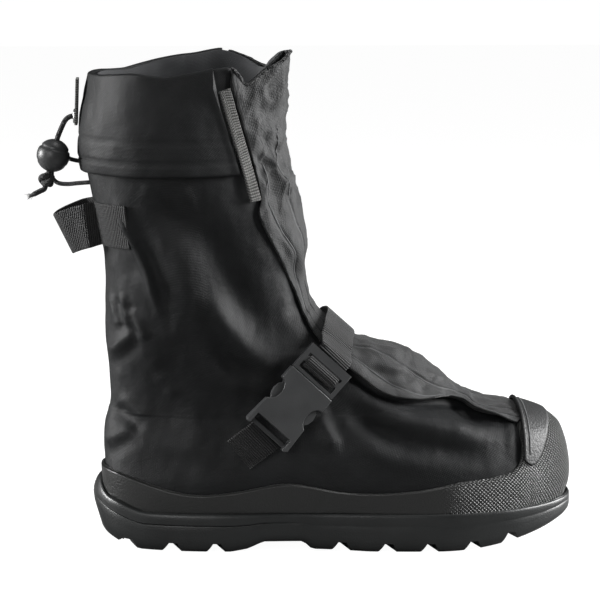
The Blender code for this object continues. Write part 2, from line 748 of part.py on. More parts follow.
def cross2(o, a, b):
    return (a[1] - o[1]) * (b[0] - a[0]) - (a[0] - o[0]) * (b[1] - a[1])


def eased(points):
    """A smooth outline through hand-chosen points."""
    return [tuple(p) for p in smooth_curve(points, OUTLINE_STEP)]


def resample(points, step):
    """Even steps along a line through points."""
    points = np.array(points)
    run = np.concatenate(([0.0], np.cumsum(np.linalg.norm(np.diff(points, axis=0), axis=1))))
    count = max(2, int(math.ceil(run[-1] / step)) + 1)
    at = np.linspace(0.0, run[-1], count)
    return np.stack([np.interp(at, run, points[:, k]) for k in range(points.shape[1])], axis=1)


def band(points, wides, width, thickness):
    """Rings of a flat band along points, with its width along the given vectors and its thickness
    outward from the line."""
    rings = []
    for i, p in enumerate(points):
        tangent = points[min(i + 1, len(points) - 1)] - points[max(i - 1, 0)]
        tangent /= np.linalg.norm(tangent)
        wide = wides[i] - tangent * wides[i].dot(tangent)
        wide /= np.linalg.norm(wide)
        normal = np.cross(tangent, wide)
        a, b = wide * width / 2, normal * thickness
        rings.append([p - a, p + a, p + a + b, p - a + b])
    return rings


def belt_points(s_from, s_to):
    """Points of the taut belt line in space between two places. Negative places are on the outer
    side, positive ones on the inner side."""
    line = resample(taut_belt(BELT_OUT), 0.0015)
    ridge = int(np.argmin(line[:, 0]))
    signed = [(-s if i < ridge else s) for i, (s, y) in enumerate(line)]
    kept = []
    for value, (s, y) in zip(signed, line):
        if s_from <= value <= s_to:
            c = belt_centre(s)
            kept.append((c[0], y, c[2]))
    return np.array(kept)


BELT_OUT = LAYER_GAP + PANEL_FABRIC + LAYER_GAP


def buckle_frame():
    """The buckle's own axes in space: origin at the top end of the male part, x down the strap, y
    along the webbing's width, z outward."""
    length = MALE_LENGTH + FEMALE_LENGTH
    start = BUCKLE_START * STRAP_REACH
    line = belt_points(-start - length, -start)
    low, high = line[0], line[-1]
    down = (low - high) / np.linalg.norm(low - high)
    wide = BELT_WIDE - down * BELT_WIDE.dot(down)
    wide /= np.linalg.norm(wide)
    outward = np.cross(wide, down)
    if outward[1] > 0:
        outward = -outward
    lift = 0.0
    for p in line:
        lift = max(lift, (p - high).dot(outward))
    origin = high + outward * (lift + RIGID_GAP)
    return origin, down, wide, outward


def place_in_frame(obj, frame):
    origin, down, wide, outward = frame
    matrix = Matrix((
        (down[0], wide[0], outward[0], origin[0]),
        (down[1], wide[1], outward[1], origin[1]),
        (down[2], wide[2], outward[2], origin[2]),
        (0, 0, 0, 1)))
    if matrix.determinant() < 0:
        obj.data.transform(Matrix.Scale(-1, 4, (0, 1, 0)))
        obj.data.flip_normals()
        matrix = matrix @ Matrix.Scale(-1, 4, (0, 1, 0))
    obj.matrix_world = matrix


def arc(centre, radius, start, stop, count):
    """Points of an arc, in degrees."""
    turns = [math.radians(start + (stop - start) * i / (count - 1)) for i in range(count)]
    return [(centre[0] + radius * math.cos(t), centre[1] + radius * math.sin(t)) for t in turns]


def box(low, high):
    return prism(((low[0], low[1]), (high[0], low[1]), (high[0], high[1]), (low[0], high[1])),
                 low[2], high[2], "Z")


# Shape of the buckle's window for the release tabs, along and across the strap
WINDOW_START = 0.010
WINDOW_LENGTH = 0.017
WINDOW_DEPTH = 0.0062
BUCKLE_WALL = 0.0016
ARM_LENGTH = 0.0085
SLOT_MARGIN = 0.0035
BAR_END = 0.0014
BAR_SIZE = 0.0030


def female_outline():
    half = BUCKLE_WIDTH / 2
    start, middle = MALE_LENGTH, MALE_LENGTH + WINDOW_START + WINDOW_LENGTH / 2
    end = MALE_LENGTH + FEMALE_LENGTH
    side = [(start, half), (start + WINDOW_START, half)]
    for i in range(1, 8):
        turn = math.pi * i / 8
        side.append((middle - math.cos(turn) * WINDOW_LENGTH / 2, half - WINDOW_DEPTH * math.sin(turn)))
    side.append((start + WINDOW_START + WINDOW_LENGTH, half - 0.0012))
    side += [(end - 0.0015, half), (end, half - 0.0015)]
    inner = half - SLOT_MARGIN
    side += [(end, inner), (end - ARM_LENGTH, inner)]
    return side + [(x, -y) for x, y in side[::-1]]


def build_female(plastic):
    """The buckle's socket: a flat hollow body with tab windows and two arms for the webbing."""
    female = finish_mesh(prism(female_outline(), 0.0, BUCKLE_THICKNESS, "Z"), "buckle_female", plastic, 30)
    half = BUCKLE_WIDTH / 2 - BUCKLE_WALL
    start = MALE_LENGTH
    room = box((start - 0.005, -half, BUCKLE_WALL),
               (start + WINDOW_START + WINDOW_LENGTH + 0.002, half, BUCKLE_THICKNESS - BUCKLE_WALL))
    combine(female, room, "DIFFERENCE")
    end = MALE_LENGTH + FEMALE_LENGTH
    inner = BUCKLE_WIDTH / 2 - SLOT_MARGIN
    bar = box((end - BAR_END - BAR_SIZE, -inner - 0.001, BUCKLE_THICKNESS * 0.10),
              (end - BAR_END, inner + 0.001, BUCKLE_THICKNESS * 0.10 + BAR_SIZE))
    combine(female, bar, "UNION")
    tidy(female, 30)
    return female


def build_male(plastic):
    """The buckle's plug: a ladder frame for the webbing, two spring prongs with release tabs."""
    half = BUCKLE_WIDTH / 2 - 0.0004
    depth = BUCKLE_THICKNESS * 0.62
    floor = (BUCKLE_THICKNESS - depth) / 2
    frame_end = MALE_LENGTH - CLEARANCE * 2
    male = finish_mesh(box((0.0, -half, floor), (frame_end, half, floor + depth)), "buckle_male", plastic, 30)
    inner = half - 0.0032
    for low, high in ((0.0062, 0.0088), (0.0128, 0.0180)):
        combine(male, box((low, -inner, -0.01), (high, inner, 0.02)), "DIFFERENCE")
    reach = MALE_LENGTH + WINDOW_START + WINDOW_LENGTH
    wall = BUCKLE_WALL + CLEARANCE
    low, high = wall + 0.0002, BUCKLE_THICKNESS - wall - 0.0002
    middle = MALE_LENGTH + WINDOW_START + WINDOW_LENGTH / 2
    for side in (-1, 1):
        tab = [(frame_end - 0.001, side * 0.0070), (frame_end - 0.001, side * 0.0110),
               (MALE_LENGTH + WINDOW_START - 0.001, side * 0.0120)]
        tab += [(middle - math.cos(math.pi * i / 6) * (WINDOW_LENGTH / 2 - 0.0010),
                 side * (0.0122 + 0.0052 * math.sin(math.pi * i / 6))) for i in range(7)]
        tab += [(reach - 0.0015, side * 0.0080)]
        combine(male, prism(tab, low, high, "Z"), "UNION")
    combine(male, box((frame_end - 0.001, -0.0035, low), (reach - 0.004, 0.0035, high)), "UNION")
    tidy(male, 30)
    return male


def build_straps(webbing):
    """The belt over the instep, from its seam on the inner side to the buckle's plug, and the short
    strap that holds the socket, stitched to the outer side."""
    frame = buckle_frame()
    origin, down, wide, outward = frame
    start = BUCKLE_START * STRAP_REACH
    over = belt_points(-start * 0.45, STRAP_REACH)
    entry = origin - down * STRAP_GAP + outward * BUCKLE_THICKNESS * 0.30
    lead = [entry, entry - down * 0.002, entry - down * 0.004]
    over = np.vstack((lead, resample(np.vstack((lead[-1], over)), 0.0042)[1:]))
    instep = webbing_band("instep_strap", over, wide, outward, webbing)

    exit_ = origin + down * (MALE_LENGTH + FEMALE_LENGTH - BAR_END + STRAP_GAP)
    exit_ = exit_ + outward * BUCKLE_THICKNESS * 0.12
    lead = [exit_, exit_ + down * 0.002]
    end = taut_belt(BELT_OUT)[0][0]
    foot = belt_points(-end, ANCHOR_FOOT - end)[::-1]
    lower = np.vstack((lead, resample(np.vstack((lead[-1], foot)), 0.0060)[1:]))
    anchor = webbing_band("anchor_strap", lower, wide, outward, webbing)
    return instep, anchor, frame


def webbing_band(name, points, first_wide, outward, webbing):
    """A flat strap that starts at the buckle, in the buckle's plane, and lies on the belt line."""
    wides = [first_wide] * 3 + [BELT_WIDE] * (len(points) - 3)
    rings = band(points, wides, WEBBING_WIDTH, WEBBING_THICKNESS)
    if (rings[0][2] - rings[0][1]).dot(outward) < 0:
        rings = band(points, wides, WEBBING_WIDTH, -WEBBING_THICKNESS)
    return finish_mesh(loft(rings, caps="face"), name, webbing, 50)


# Pull loop: the stations from the seam on one side round the free end to the other. Columns: share of
# LOOP_REACH behind the shaft; half gap as a share of SHAFT_WIDTH; drop as a share of LOOP_WIDTH.
LOOP_HEIGHT = 0.672
LOOP_STATIONS = ((0.30, 0.150, 0.06), (0.62, 0.112, 0.14), (0.87, 0.078, 0.22), (0.98, 0.040, 0.27),
                 (1.00, 0.000, 0.29))
LOOP_SEAM_ANGLES = (48, 38, 29, 20, 13)


def build_pull_loop(webbing):
    """A webbing loop stitched to both sides of the shaft's back, with its free end behind it."""
    z = LOOP_HEIGHT * BOOT_HEIGHT
    low, high = level_at(z - LOOP_WIDTH / 2), level_at(z + LOOP_WIDTH / 2)
    back = skin(level_at(z), math.pi)[0]
    centres, wides = [], []
    for degrees in LOOP_SEAM_ANGLES:
        angle = math.pi - math.radians(degrees)
        foot = skin(low, angle, CLEARANCE + RIGID_GAP)
        head = skin(high, angle, CLEARANCE + RIGID_GAP)
        centres.append((foot + head) / 2)
        wides.append((head - foot) / np.linalg.norm(head - foot))
    for reach, gap, drop in LOOP_STATIONS:
        lean = reach * math.radians(26)
        centres.append(np.array((back - reach * LOOP_REACH, gap * SHAFT_WIDTH, z - drop * LOOP_WIDTH)))
        wides.append(np.array((-math.sin(lean), 0.0, math.cos(lean))))
    flip = np.array((1, -1, 1))
    line = [p * flip for p in centres[:-1]] + centres[::-1]
    wide = [w * flip for w in wides[:-1]] + wides[::-1]
    rings = band(np.array(line), wide, LOOP_WIDTH, WEBBING_THICKNESS)
    middle = len(line) // 2
    if rings[middle][2][0] > rings[middle][1][0]:
        rings = band(np.array(line), wide, LOOP_WIDTH, -WEBBING_THICKNESS)
    return finish_mesh(loft(rings, caps="face"), "pull_loop", webbing, 50)


# Drawcord at the back of the cuff. Its points are chosen by hand, in metres from the eyelet's face:
# x behind the cuff is negative, y towards the inner side is positive.
TAB_PLACE = 0.918
EYELET_PLACE = 0.33
LOCK_PLACE = (-0.0150, -0.0015, -0.0265)
LOCK_AXIS = (0.26, -0.02, 0.965)
KNOT_DROP = 0.0172
CORD_START = ((-0.0008, 0.000, 0.0000), (-0.0036, -0.0002, -0.0004), (-0.0070, -0.0008, -0.0034))
CORD_TAIL = ((-0.0026, 0.000, -0.0015), (-0.0062, -0.001, -0.0032), (-0.0098, -0.001, -0.0050))
LOOP_CORD = ((-0.0035, 0.0112, -0.0303), (-0.0085, 0.0125, -0.0280),
             (-0.0132, 0.0128, -0.0308), (-0.0160, 0.0118, -0.0370), (-0.0162, 0.0100, -0.0425),
             (-0.0125, 0.0085, -0.0462), (-0.0060, 0.0070, -0.0470), (0.0012, 0.0050, -0.0462))
LOOP_CORD_SEATS = (0.794, 0.750)


def tab_frame():
    """The eyelet tab's middle, and the direction up along it. Its foot lies on the cuff's back and its
    head stands off it."""
    z, half = TAB_PLACE * BOOT_HEIGHT, TAB_HEIGHT / 2
    foot = cuff_face(z - half, math.pi)
    up = np.array((math.sin(TAB_LEAN), 0.0, math.cos(TAB_LEAN)))
    return foot + up * half + np.array((-TAB_GAP, 0.0, 0.0)), up


def eyelet_face():
    """The middle of the eyelet's seat on the tab."""
    middle, up = tab_frame()
    return middle - up * TAB_HEIGHT * EYELET_PLACE + np.array((-up[2], 0.0, up[0])) * TAB_THICKNESS


def cord_axis():
    axis = np.array(LOCK_AXIS)
    return axis / np.linalg.norm(axis)


def draw_cord_points():
    """From the eyelet down through the lock's and the knot's bores to the loose end."""
    seat, axis = eyelet_face(), cord_axis()
    lock = seat + np.array(LOCK_PLACE)
    knot = lock - axis * KNOT_DROP
    points = [seat + np.array(o) for o in CORD_START]
    for reach in (0.62, 0.45, 0.20, 0.0, -0.25, -0.50):
        points.append(lock + axis * reach * LOCK_DIAMETER)
    points += [knot, knot - axis * KNOT_DIAMETER * 0.5]
    return points + [points[-1] + np.array(o) for o in CORD_TAIL]


def loop_cord_points():
    """From the cuff's lower edge round behind the ball lock and back to the shaft under the cuff."""
    above, below = (share * BOOT_HEIGHT for share in LOOP_CORD_SEATS)
    off = np.array((-CLEARANCE * 1.5, 0.0, 0.0))
    start = cuff_face(above, math.pi - math.radians(9)) + off
    stop = skin(level_at(below), math.pi - math.radians(2), CLEARANCE) + off
    return [start] + [eyelet_face() + np.array(o) for o in LOOP_CORD] + [stop]


def build_cord(name, points, diameter, material_):
    """A round cord along a smooth curve through hand-chosen points, as a bevelled poly curve."""
    points = smooth_curve(points, 1.6 * diameter)
    curve = bpy.data.curves.new(name, "CURVE")
    curve.dimensions = "3D"
    curve.bevel_depth = diameter / 2
    curve.bevel_resolution = 2
    curve.use_fill_caps = True
    spline = curve.splines.new("POLY")
    spline.points.add(len(points) - 1)
    for spot, p in zip(spline.points, points):
        spot.co = (*p, 1.0)
    curve.materials.append(material_)
    obj = bpy.data.objects.new(name, curve)
    bpy.context.scene.collection.objects.link(obj)
    return obj


def smooth_curve(points, step):
    """Points at even steps on a curve through the given ones."""
    pts = np.array(points)
    padded = np.vstack((2 * pts[0] - pts[1], pts, 2 * pts[-1] - pts[-2]))
    dense = []
    for i in range(1, len(padded) - 2):
        p0, p1, p2, p3 = padded[i - 1:i + 3]
        for u in np.linspace(0, 1, 12, endpoint=False):
            dense.append(0.5 * (2 * p1 + (p2 - p0) * u + (2 * p0 - 5 * p1 + 4 * p2 - p3) * u**2
                                + (3 * p1 - p0 - 3 * p2 + p3) * u**3))
    dense.append(pts[-1])
    return resample(dense, step)


def bored_ball(name, centre, diameter, material_, steps=16, rings=9):
    """A ball with a bore for the cord along the cord's axis."""
    axis = Vector(cord_axis())
    across = axis.cross(Vector((0, 1, 0))).normalized()
    beside = axis.cross(across)
    radius, bore = diameter / 2, CORD_DIAMETER / 2 + CORD_ROOM
    start = math.asin(bore / radius)
    loops = []
    for k in range(rings):
        turn = start + (math.pi - 2 * start) * k / (rings - 1)
        r, along = radius * math.sin(turn), radius * math.cos(turn)
        loops.append([Vector(centre) + axis * along + across * r * math.cos(2 * math.pi * i / steps)
                      + beside * r * math.sin(2 * math.pi * i / steps) for i in range(steps)])
    return finish_mesh(loft(loops, closed_along=True), name, material_, 60)


def build_eyelet_tab(webbing, metal):
    """A tab on the back of the cuff, and the pressed eyelet in it where the cord comes out."""
    middle, up = tab_frame()
    out = np.array((-up[2], 0.0, up[0]))
    side = np.array((0.0, 1.0, 0.0))
    corners = ((-1, -0.9), (-0.8, -1), (0.8, -1), (1, -0.9), (1, 0.9), (0.8, 1), (-0.8, 1), (-1, 0.9))
    rings = [[middle + side * a * TAB_WIDTH / 2 + up * b * TAB_HEIGHT / 2 + out * t for a, b in corners]
             for t in (0.0, TAB_THICKNESS)]
    finish_mesh(loft(rings, caps="face"), "eyelet_tab", webbing, 30)
    seat = eyelet_face() + out * CLEARANCE
    outer, inner, deep = EYELET_DIAMETER / 2, CORD_DIAMETER / 2 + CORD_ROOM, 0.0009
    profile = ((inner, 0.0), (inner, deep), (outer * 0.8, deep), (outer, 0.0))
    steps = 16
    loops = [[seat + out * height + side * r * math.cos(2 * math.pi * i / steps)
              + up * r * math.sin(2 * math.pi * i / steps) for i in range(steps)]
             for r, height in profile]
    finish_mesh(loft(loops, closed_along=True), "eyelet", metal, 40)


def build():
    for obj in list(bpy.data.objects):
        bpy.data.objects.remove(obj)
    rubber = material("sole_rubber", (0.016, 0.018, 0.018), 0.45)
    rand_rubber = material("rand_rubber", (0.030, 0.031, 0.031), 0.40)
    shaft_fabric = material("shaft_fabric", (0.012, 0.013, 0.014), 0.75)
    panel_fabric = material("panel_fabric", (0.030, 0.031, 0.032), 0.80)
    webbing = material("webbing", (0.020, 0.021, 0.022), 0.70)
    plastic = material("buckle_plastic", (0.035, 0.037, 0.038), 0.42)
    patch = material("patch_leather", (0.035, 0.036, 0.036), 0.55)
    cord = material("cord", (0.016, 0.016, 0.017), 0.65)
    foam = material("insole_foam", (0.05, 0.05, 0.05), 0.90)
    metal = material("eyelet_metal", (0.55, 0.55, 0.55), 0.30, 1.0)

    build_outsole(rubber)
    build_insole(foam)
    build_upper(shaft_fabric)
    build_rand(rand_rubber)
    build_toe_patch(patch)
    build_front_panel(panel_fabric)
    build_cuff(shaft_fabric)
    build_hook_tape(webbing)
    frame = build_straps(webbing)[2]
    place_in_frame(build_female(plastic), frame)
    place_in_frame(build_male(plastic), frame)
    build_pull_loop(webbing)
    build_eyelet_tab(webbing, metal)
    build_cord("draw_cord", draw_cord_points(), CORD_DIAMETER, cord)
    build_cord("loop_cord", loop_cord_points(), LOOP_CORD_DIAMETER, cord)
    lock = eyelet_face() + np.array(LOCK_PLACE)
    bored_ball("cord_lock", lock, LOCK_DIAMETER, plastic)
    bored_ball("cord_knot", lock - cord_axis() * KNOT_DROP, KNOT_DIAMETER, cord, 12, 7)


build()
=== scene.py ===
"""Dresses the winter overshoe: folded nylon upper with a turned-down collar, closure panel, rubber
rand with a knurled toe cap, lugged sole, webbing straps with a side release buckle, and a drawcord.

Metres, +X to the toe, +Y to the inner side of the foot, +Z up. The solid model is the fixed frame.
"""

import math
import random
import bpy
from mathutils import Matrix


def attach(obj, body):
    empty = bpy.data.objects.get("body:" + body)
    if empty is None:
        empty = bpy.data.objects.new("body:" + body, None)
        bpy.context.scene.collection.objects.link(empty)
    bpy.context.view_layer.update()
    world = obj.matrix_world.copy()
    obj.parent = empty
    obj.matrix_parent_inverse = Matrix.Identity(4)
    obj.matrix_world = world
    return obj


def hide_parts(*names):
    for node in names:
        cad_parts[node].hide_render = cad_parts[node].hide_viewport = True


bl_info = {
    "name": "Winter overshoe",
    "version": (1, 0, 0),
    "blender": (4, 5, 0),
    "location": "3D View > Sidebar > Overshoe",
    "description": "Makes the fine surfaces of a winter overshoe round its solid model",
    "category": "Add Mesh",
}

from functools import lru_cache

import bmesh
import bpy
import numpy as np
from bpy.props import FloatProperty, FloatVectorProperty, PointerProperty
from mathutils import Matrix, Vector, noise

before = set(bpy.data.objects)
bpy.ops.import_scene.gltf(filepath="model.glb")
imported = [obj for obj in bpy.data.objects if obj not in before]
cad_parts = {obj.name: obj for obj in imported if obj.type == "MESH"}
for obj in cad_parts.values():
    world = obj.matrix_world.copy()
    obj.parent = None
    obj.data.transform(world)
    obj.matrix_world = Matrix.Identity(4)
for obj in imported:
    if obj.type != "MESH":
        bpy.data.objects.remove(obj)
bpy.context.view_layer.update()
MM = 0.001

# Driving sizes, the same as the solid model's
FOOT_LENGTH = 0.322
BALL_WIDTH = 0.116
BOOT_HEIGHT = 0.329
INSTEP_HEIGHT = 0.140
SHAFT_DEPTH = 0.140
SHAFT_WIDTH = 0.116
LEG_SHARE = 0.185

# Cup sole
SOLE_EDGE = 0.0048
HEEL_EDGE = 0.0042
FLOOR_HEIGHT = 0.012
RIM_HEIGHT = 0.0265
TOE_SPRING = 0.019
SPRING_START = 0.71
ARCH_RISE = 0.0068
LUG_HEIGHT = 0.0062
HEEL_RIM_RISE = 0.009
KICK_LEDGE_REACH = 0.0046
KICK_LEDGE_WIDTH = 0.052
KICK_LEDGE_RISE = 0.011
BAND_STEP = 0.0014
BAND_HEIGHT = 0.0075
RIM_RECESS = 0.0008

# Walls and layers
FABRIC = 0.0020
RAND_RUBBER = 0.0022
PATCH_LEATHER = 0.0011
PANEL_FABRIC = 0.0018
CUFF_PUFF = 0.0042
CUFF_FLARE = 0.0014
INSOLE_THICKNESS = 0.005
CLEARANCE = 0.0003
LAYER_GAP = 0.0006

# Webbing, buckle and cord
WEBBING_WIDTH = 0.025
WEBBING_THICKNESS = 0.0015
LOOP_WIDTH = 0.030
LOOP_REACH = 0.0225
TAB_WIDTH = 0.022
TAB_HEIGHT = 0.031
TAB_THICKNESS = 0.0020
TAB_LEAN = math.radians(2)
TAB_GAP = 0.0005
BUCKLE_WIDTH = 0.036
FEMALE_LENGTH = 0.047
MALE_LENGTH = 0.021
BUCKLE_THICKNESS = 0.0090
TAPE_WIDTH = 0.0085
CORD_DIAMETER = 0.0036
LOOP_CORD_DIAMETER = 0.0030
LOCK_DIAMETER = 0.0225
KNOT_DIAMETER = 0.0125
CORD_ROOM = 0.0008
EYELET_DIAMETER = 0.010
RIGID_GAP = 0.0006
STRAP_GAP = 0.0005

# Sections of the foot, from the cup's floor up to the instep. Columns: height as a share of
# INSTEP_HEIGHT; back, front and widest place as shares of FOOT_LENGTH; outer and inner half width as
# shares of BALL_WIDTH; front and back roundness; waist; swing of the toe to the inner side.
FOOT_SECTIONS = (
    (0.088, 0.011, 0.980, 0.682, 0.475, 0.465, 2.40, 2.90, 0.16, 0.070),
    (0.193, 0.006, 0.994, 0.675, 0.490, 0.480, 2.40, 2.90, 0.15, 0.070),
    (0.321, 0.006, 1.000, 0.666, 0.500, 0.490, 2.40, 2.80, 0.11, 0.070),
    (0.429, 0.004, 0.995, 0.651, 0.487, 0.478, 2.35, 2.60, 0.07, 0.070),
    (0.514, 0.004, 0.984, 0.635, 0.466, 0.457, 2.30, 2.50, 0.04, 0.070),
    (0.553, 0.005, 0.973, 0.626, 0.452, 0.443, 2.20, 2.45, 0.02, 0.065),
    (0.595, 0.009, 0.946, 0.604, 0.433, 0.424, 2.15, 2.40, 0.01, 0.060),
    (0.623, 0.014, 0.913, 0.578, 0.420, 0.411, 2.10, 2.35, 0.00, 0.055),
    (0.643, 0.018, 0.875, 0.548, 0.409, 0.401, 2.05, 2.30, 0.00, 0.050),
    (0.659, 0.020, 0.835, 0.520, 0.401, 0.393, 2.05, 2.30, 0.00, 0.040),
    (0.674, 0.021, 0.803, 0.494, 0.396, 0.387, 2.05, 2.30, 0.00, 0.034),
    (0.707, 0.021, 0.777, 0.466, 0.392, 0.384, 2.05, 2.30, 0.00, 0.028),
    (0.764, 0.019, 0.744, 0.420, 0.388, 0.380, 2.05, 2.30, 0.00, 0.020),
    (0.843, 0.016, 0.697, 0.358, 0.384, 0.376, 2.05, 2.30, 0.00, 0.010),
    (0.909, 0.014, 0.655, 0.306, 0.384, 0.376, 2.05, 2.30, 0.00, 0.000),
    (0.950, 0.013, 0.612, 0.276, 0.388, 0.380, 2.05, 2.25, 0.00, 0.000),
    (0.984, 0.012, 0.545, 0.256, 0.392, 0.388, 2.05, 2.20, 0.00, 0.000),
)

# Sections of the shaft. Columns: height as a share of the way from the instep to the collar; back,
# front and widest place as shares of SHAFT_DEPTH; half width as a share of SHAFT_WIDTH; roundness.
SHAFT_SECTIONS = (
    (0.052, -0.400, 0.694, 0.121, 0.405, 2.10),
    (0.115, -0.404, 0.608, 0.100, 0.418, 2.10),
    (0.190, -0.407, 0.575, 0.086, 0.431, 2.10),
    (0.260, -0.411, 0.562, 0.086, 0.448, 2.10),
    (0.340, -0.419, 0.572, 0.086, 0.461, 2.15),
    (0.443, -0.443, 0.545, 0.064, 0.474, 2.20),
    (0.563, -0.471, 0.500, 0.029, 0.487, 2.20),
    (0.688, -0.494, 0.452, -0.007, 0.496, 2.20),
    (0.833, -0.484, 0.452, -0.007, 0.500, 2.20),
    (1.000, -0.443, 0.452, -0.007, 0.500, 2.20),
)

# The collar's rim: degrees from the toe towards the inner side; drop as a share of SHAFT_WIDTH.
RIM_WAVE = ((0, -0.025), (40, 0.020), (85, 0.005), (110, 0.045), (135, 0.075), (180, 0.072),
            (225, 0.060), (270, 0.050), (310, 0.010), (360, -0.025))

# How the collar's rim is crumpled. Columns: degrees from the toe towards the inner side; rise and lean
# outwards, both as shares of SHAFT_WIDTH.
RIM_CRUMPLE = ((-180, 0.000, 0.000), (-150, -0.008, 0.005), (-122, 0.004, -0.004), (-100, -0.022, -0.012),
               (-78, 0.016, 0.006), (-66, 0.022, 0.018), (-60, -0.050, 0.010), (-54, -0.105, -0.020),
               (-47, -0.075, -0.016), (-34, -0.010, 0.012), (-20, 0.034, 0.022), (-9, 0.046, 0.026),
               (1, 0.030, 0.000), (12, -0.012, -0.036), (25, -0.050, -0.030), (39, -0.040, 0.014),
               (54, 0.012, 0.030), (69, 0.050, 0.020), (84, 0.022, -0.014), (104, 0.012, 0.012),
               (130, -0.006, -0.006), (155, 0.004, 0.004), (180, 0.000, 0.000))
CRUMPLE_START = 0.885

# The bend in the cloth where the foot turns up into the shaft, filled softly: height as a share of
# INSTEP_HEIGHT; slope to each side; softness; where the fill fades out along the foot.
HEEL_BEND = 0.651
BEND_SLOPE = 0.17
BEND_SOFTNESS = 0.009
BEND_FADE = (0.035, 0.070)

# The tread's height along the sole: share of FOOT_LENGTH; share of ARCH_RISE.
TREAD_RISE = ((-0.02, 1.70), (0.00, 1.30), (0.045, 0.35), (0.08, 0.00), (0.27, 0.00), (0.305, 0.30),
              (0.338, 1.00), (0.422, 1.00), (0.440, 0.22), (0.50, 0.14), (0.56, 0.00), (1.10, 0.00))

# The rand's top line from the side: share of FOOT_LENGTH; height as a share of INSTEP_HEIGHT.
RAND_TOP = ((-0.10, 0.390), (0.00, 0.385), (0.085, 0.335), (0.16, 0.290), (0.22, 0.280), (0.29, 0.300),
            (0.37, 0.335), (0.42, 0.330), (0.50, 0.295), (0.58, 0.288), (0.67, 0.305), (0.75, 0.340),
            (0.82, 0.355), (0.87, 0.385), (0.886, 0.460), (0.882, 0.560), (0.874, 0.800))
CAP_BACK = 0.882
PATCH_FRONT = 0.952

# The front panel's outer edge from the side: share of FOOT_LENGTH; height as a share of BOOT_HEIGHT.
PANEL_EDGE = ((0.877, 0.250), (0.845, 0.258), (0.790, 0.272), (0.735, 0.298), (0.650, 0.302),
              (0.590, 0.320), (0.530, 0.362), (0.475, 0.410), (0.430, 0.470), (0.400, 0.545),
              (0.370, 0.610), (0.330, 0.690), (0.333, 0.735))
FLAP_EDGE = ((0.333, 0.735), (0.270, 0.960), (0.268, 1.050))
CUFF_BOTTOM = 0.785

# Grooves of the tread, as shares of FOOT_LENGTH
EDGE_GROOVES = (0.068, 0.155, 0.244, 0.505, 0.600, 0.6875, 0.781, 0.868)
CENTRE_GROOVES = (0.112, 0.268, 0.552, 0.644, 0.734, 0.824)
RAIL_RUNS = ((0.050, 0.275), (0.485, 0.895))
RAIL_GROOVE = 0.0045
GROOVE_ROOT = 0.0052
GROOVE_MOUTH = 0.0125
GROOVE_SLANT = math.radians(14)
RAIL_SHARE = 0.36

# The strap's belt line over the instep
STRAP_REACH = 0.112
STRAP_TILT = math.radians(42)
STRAP_SHIFT = ((0.00, 0.05), (0.14, 0.30), (0.45, 0.34), (0.75, 0.28), (1.00, 0.10))
STRAP_TOP = (0.498, 1.0622)
BELT_ROWS = (2.0, 22.0)
BUCKLE_START = 0.150

# Pull loop. Columns: share of LOOP_REACH behind the shaft; half gap as a share of SHAFT_WIDTH; drop
# as a share of LOOP_WIDTH.
LOOP_HEIGHT = 0.672
LOOP_STATIONS = ((0.30, 0.150, 0.06), (0.62, 0.112, 0.14), (0.87, 0.078, 0.22), (0.98, 0.040, 0.27),
                 (1.00, 0.000, 0.29))
LOOP_SEAM_ANGLES = (48, 38, 29, 20, 13)

# Drawcord, with points given in metres from the eyelet's face
TAB_PLACE = 0.918
EYELET_PLACE = 0.33
LOCK_PLACE = (-0.0150, -0.0015, -0.0265)
LOCK_AXIS = (0.26, -0.02, 0.965)
KNOT_DROP = 0.0172
CORD_START = ((-0.0008, 0.000, 0.0000), (-0.0036, -0.0002, -0.0004), (-0.0070, -0.0008, -0.0034))
CORD_TAIL = ((-0.0026, 0.000, -0.0015), (-0.0062, -0.001, -0.0032), (-0.0098, -0.001, -0.0050))
LOOP_CORD = ((-0.0035, 0.0112, -0.0303), (-0.0085, 0.0125, -0.0280),
             (-0.0132, 0.0128, -0.0308), (-0.0160, 0.0118, -0.0370), (-0.0162, 0.0100, -0.0425),
             (-0.0125, 0.0085, -0.0462), (-0.0060, 0.0070, -0.0470), (0.0012, 0.0050, -0.0462))
LOOP_CORD_SEATS = (0.794, 0.750)

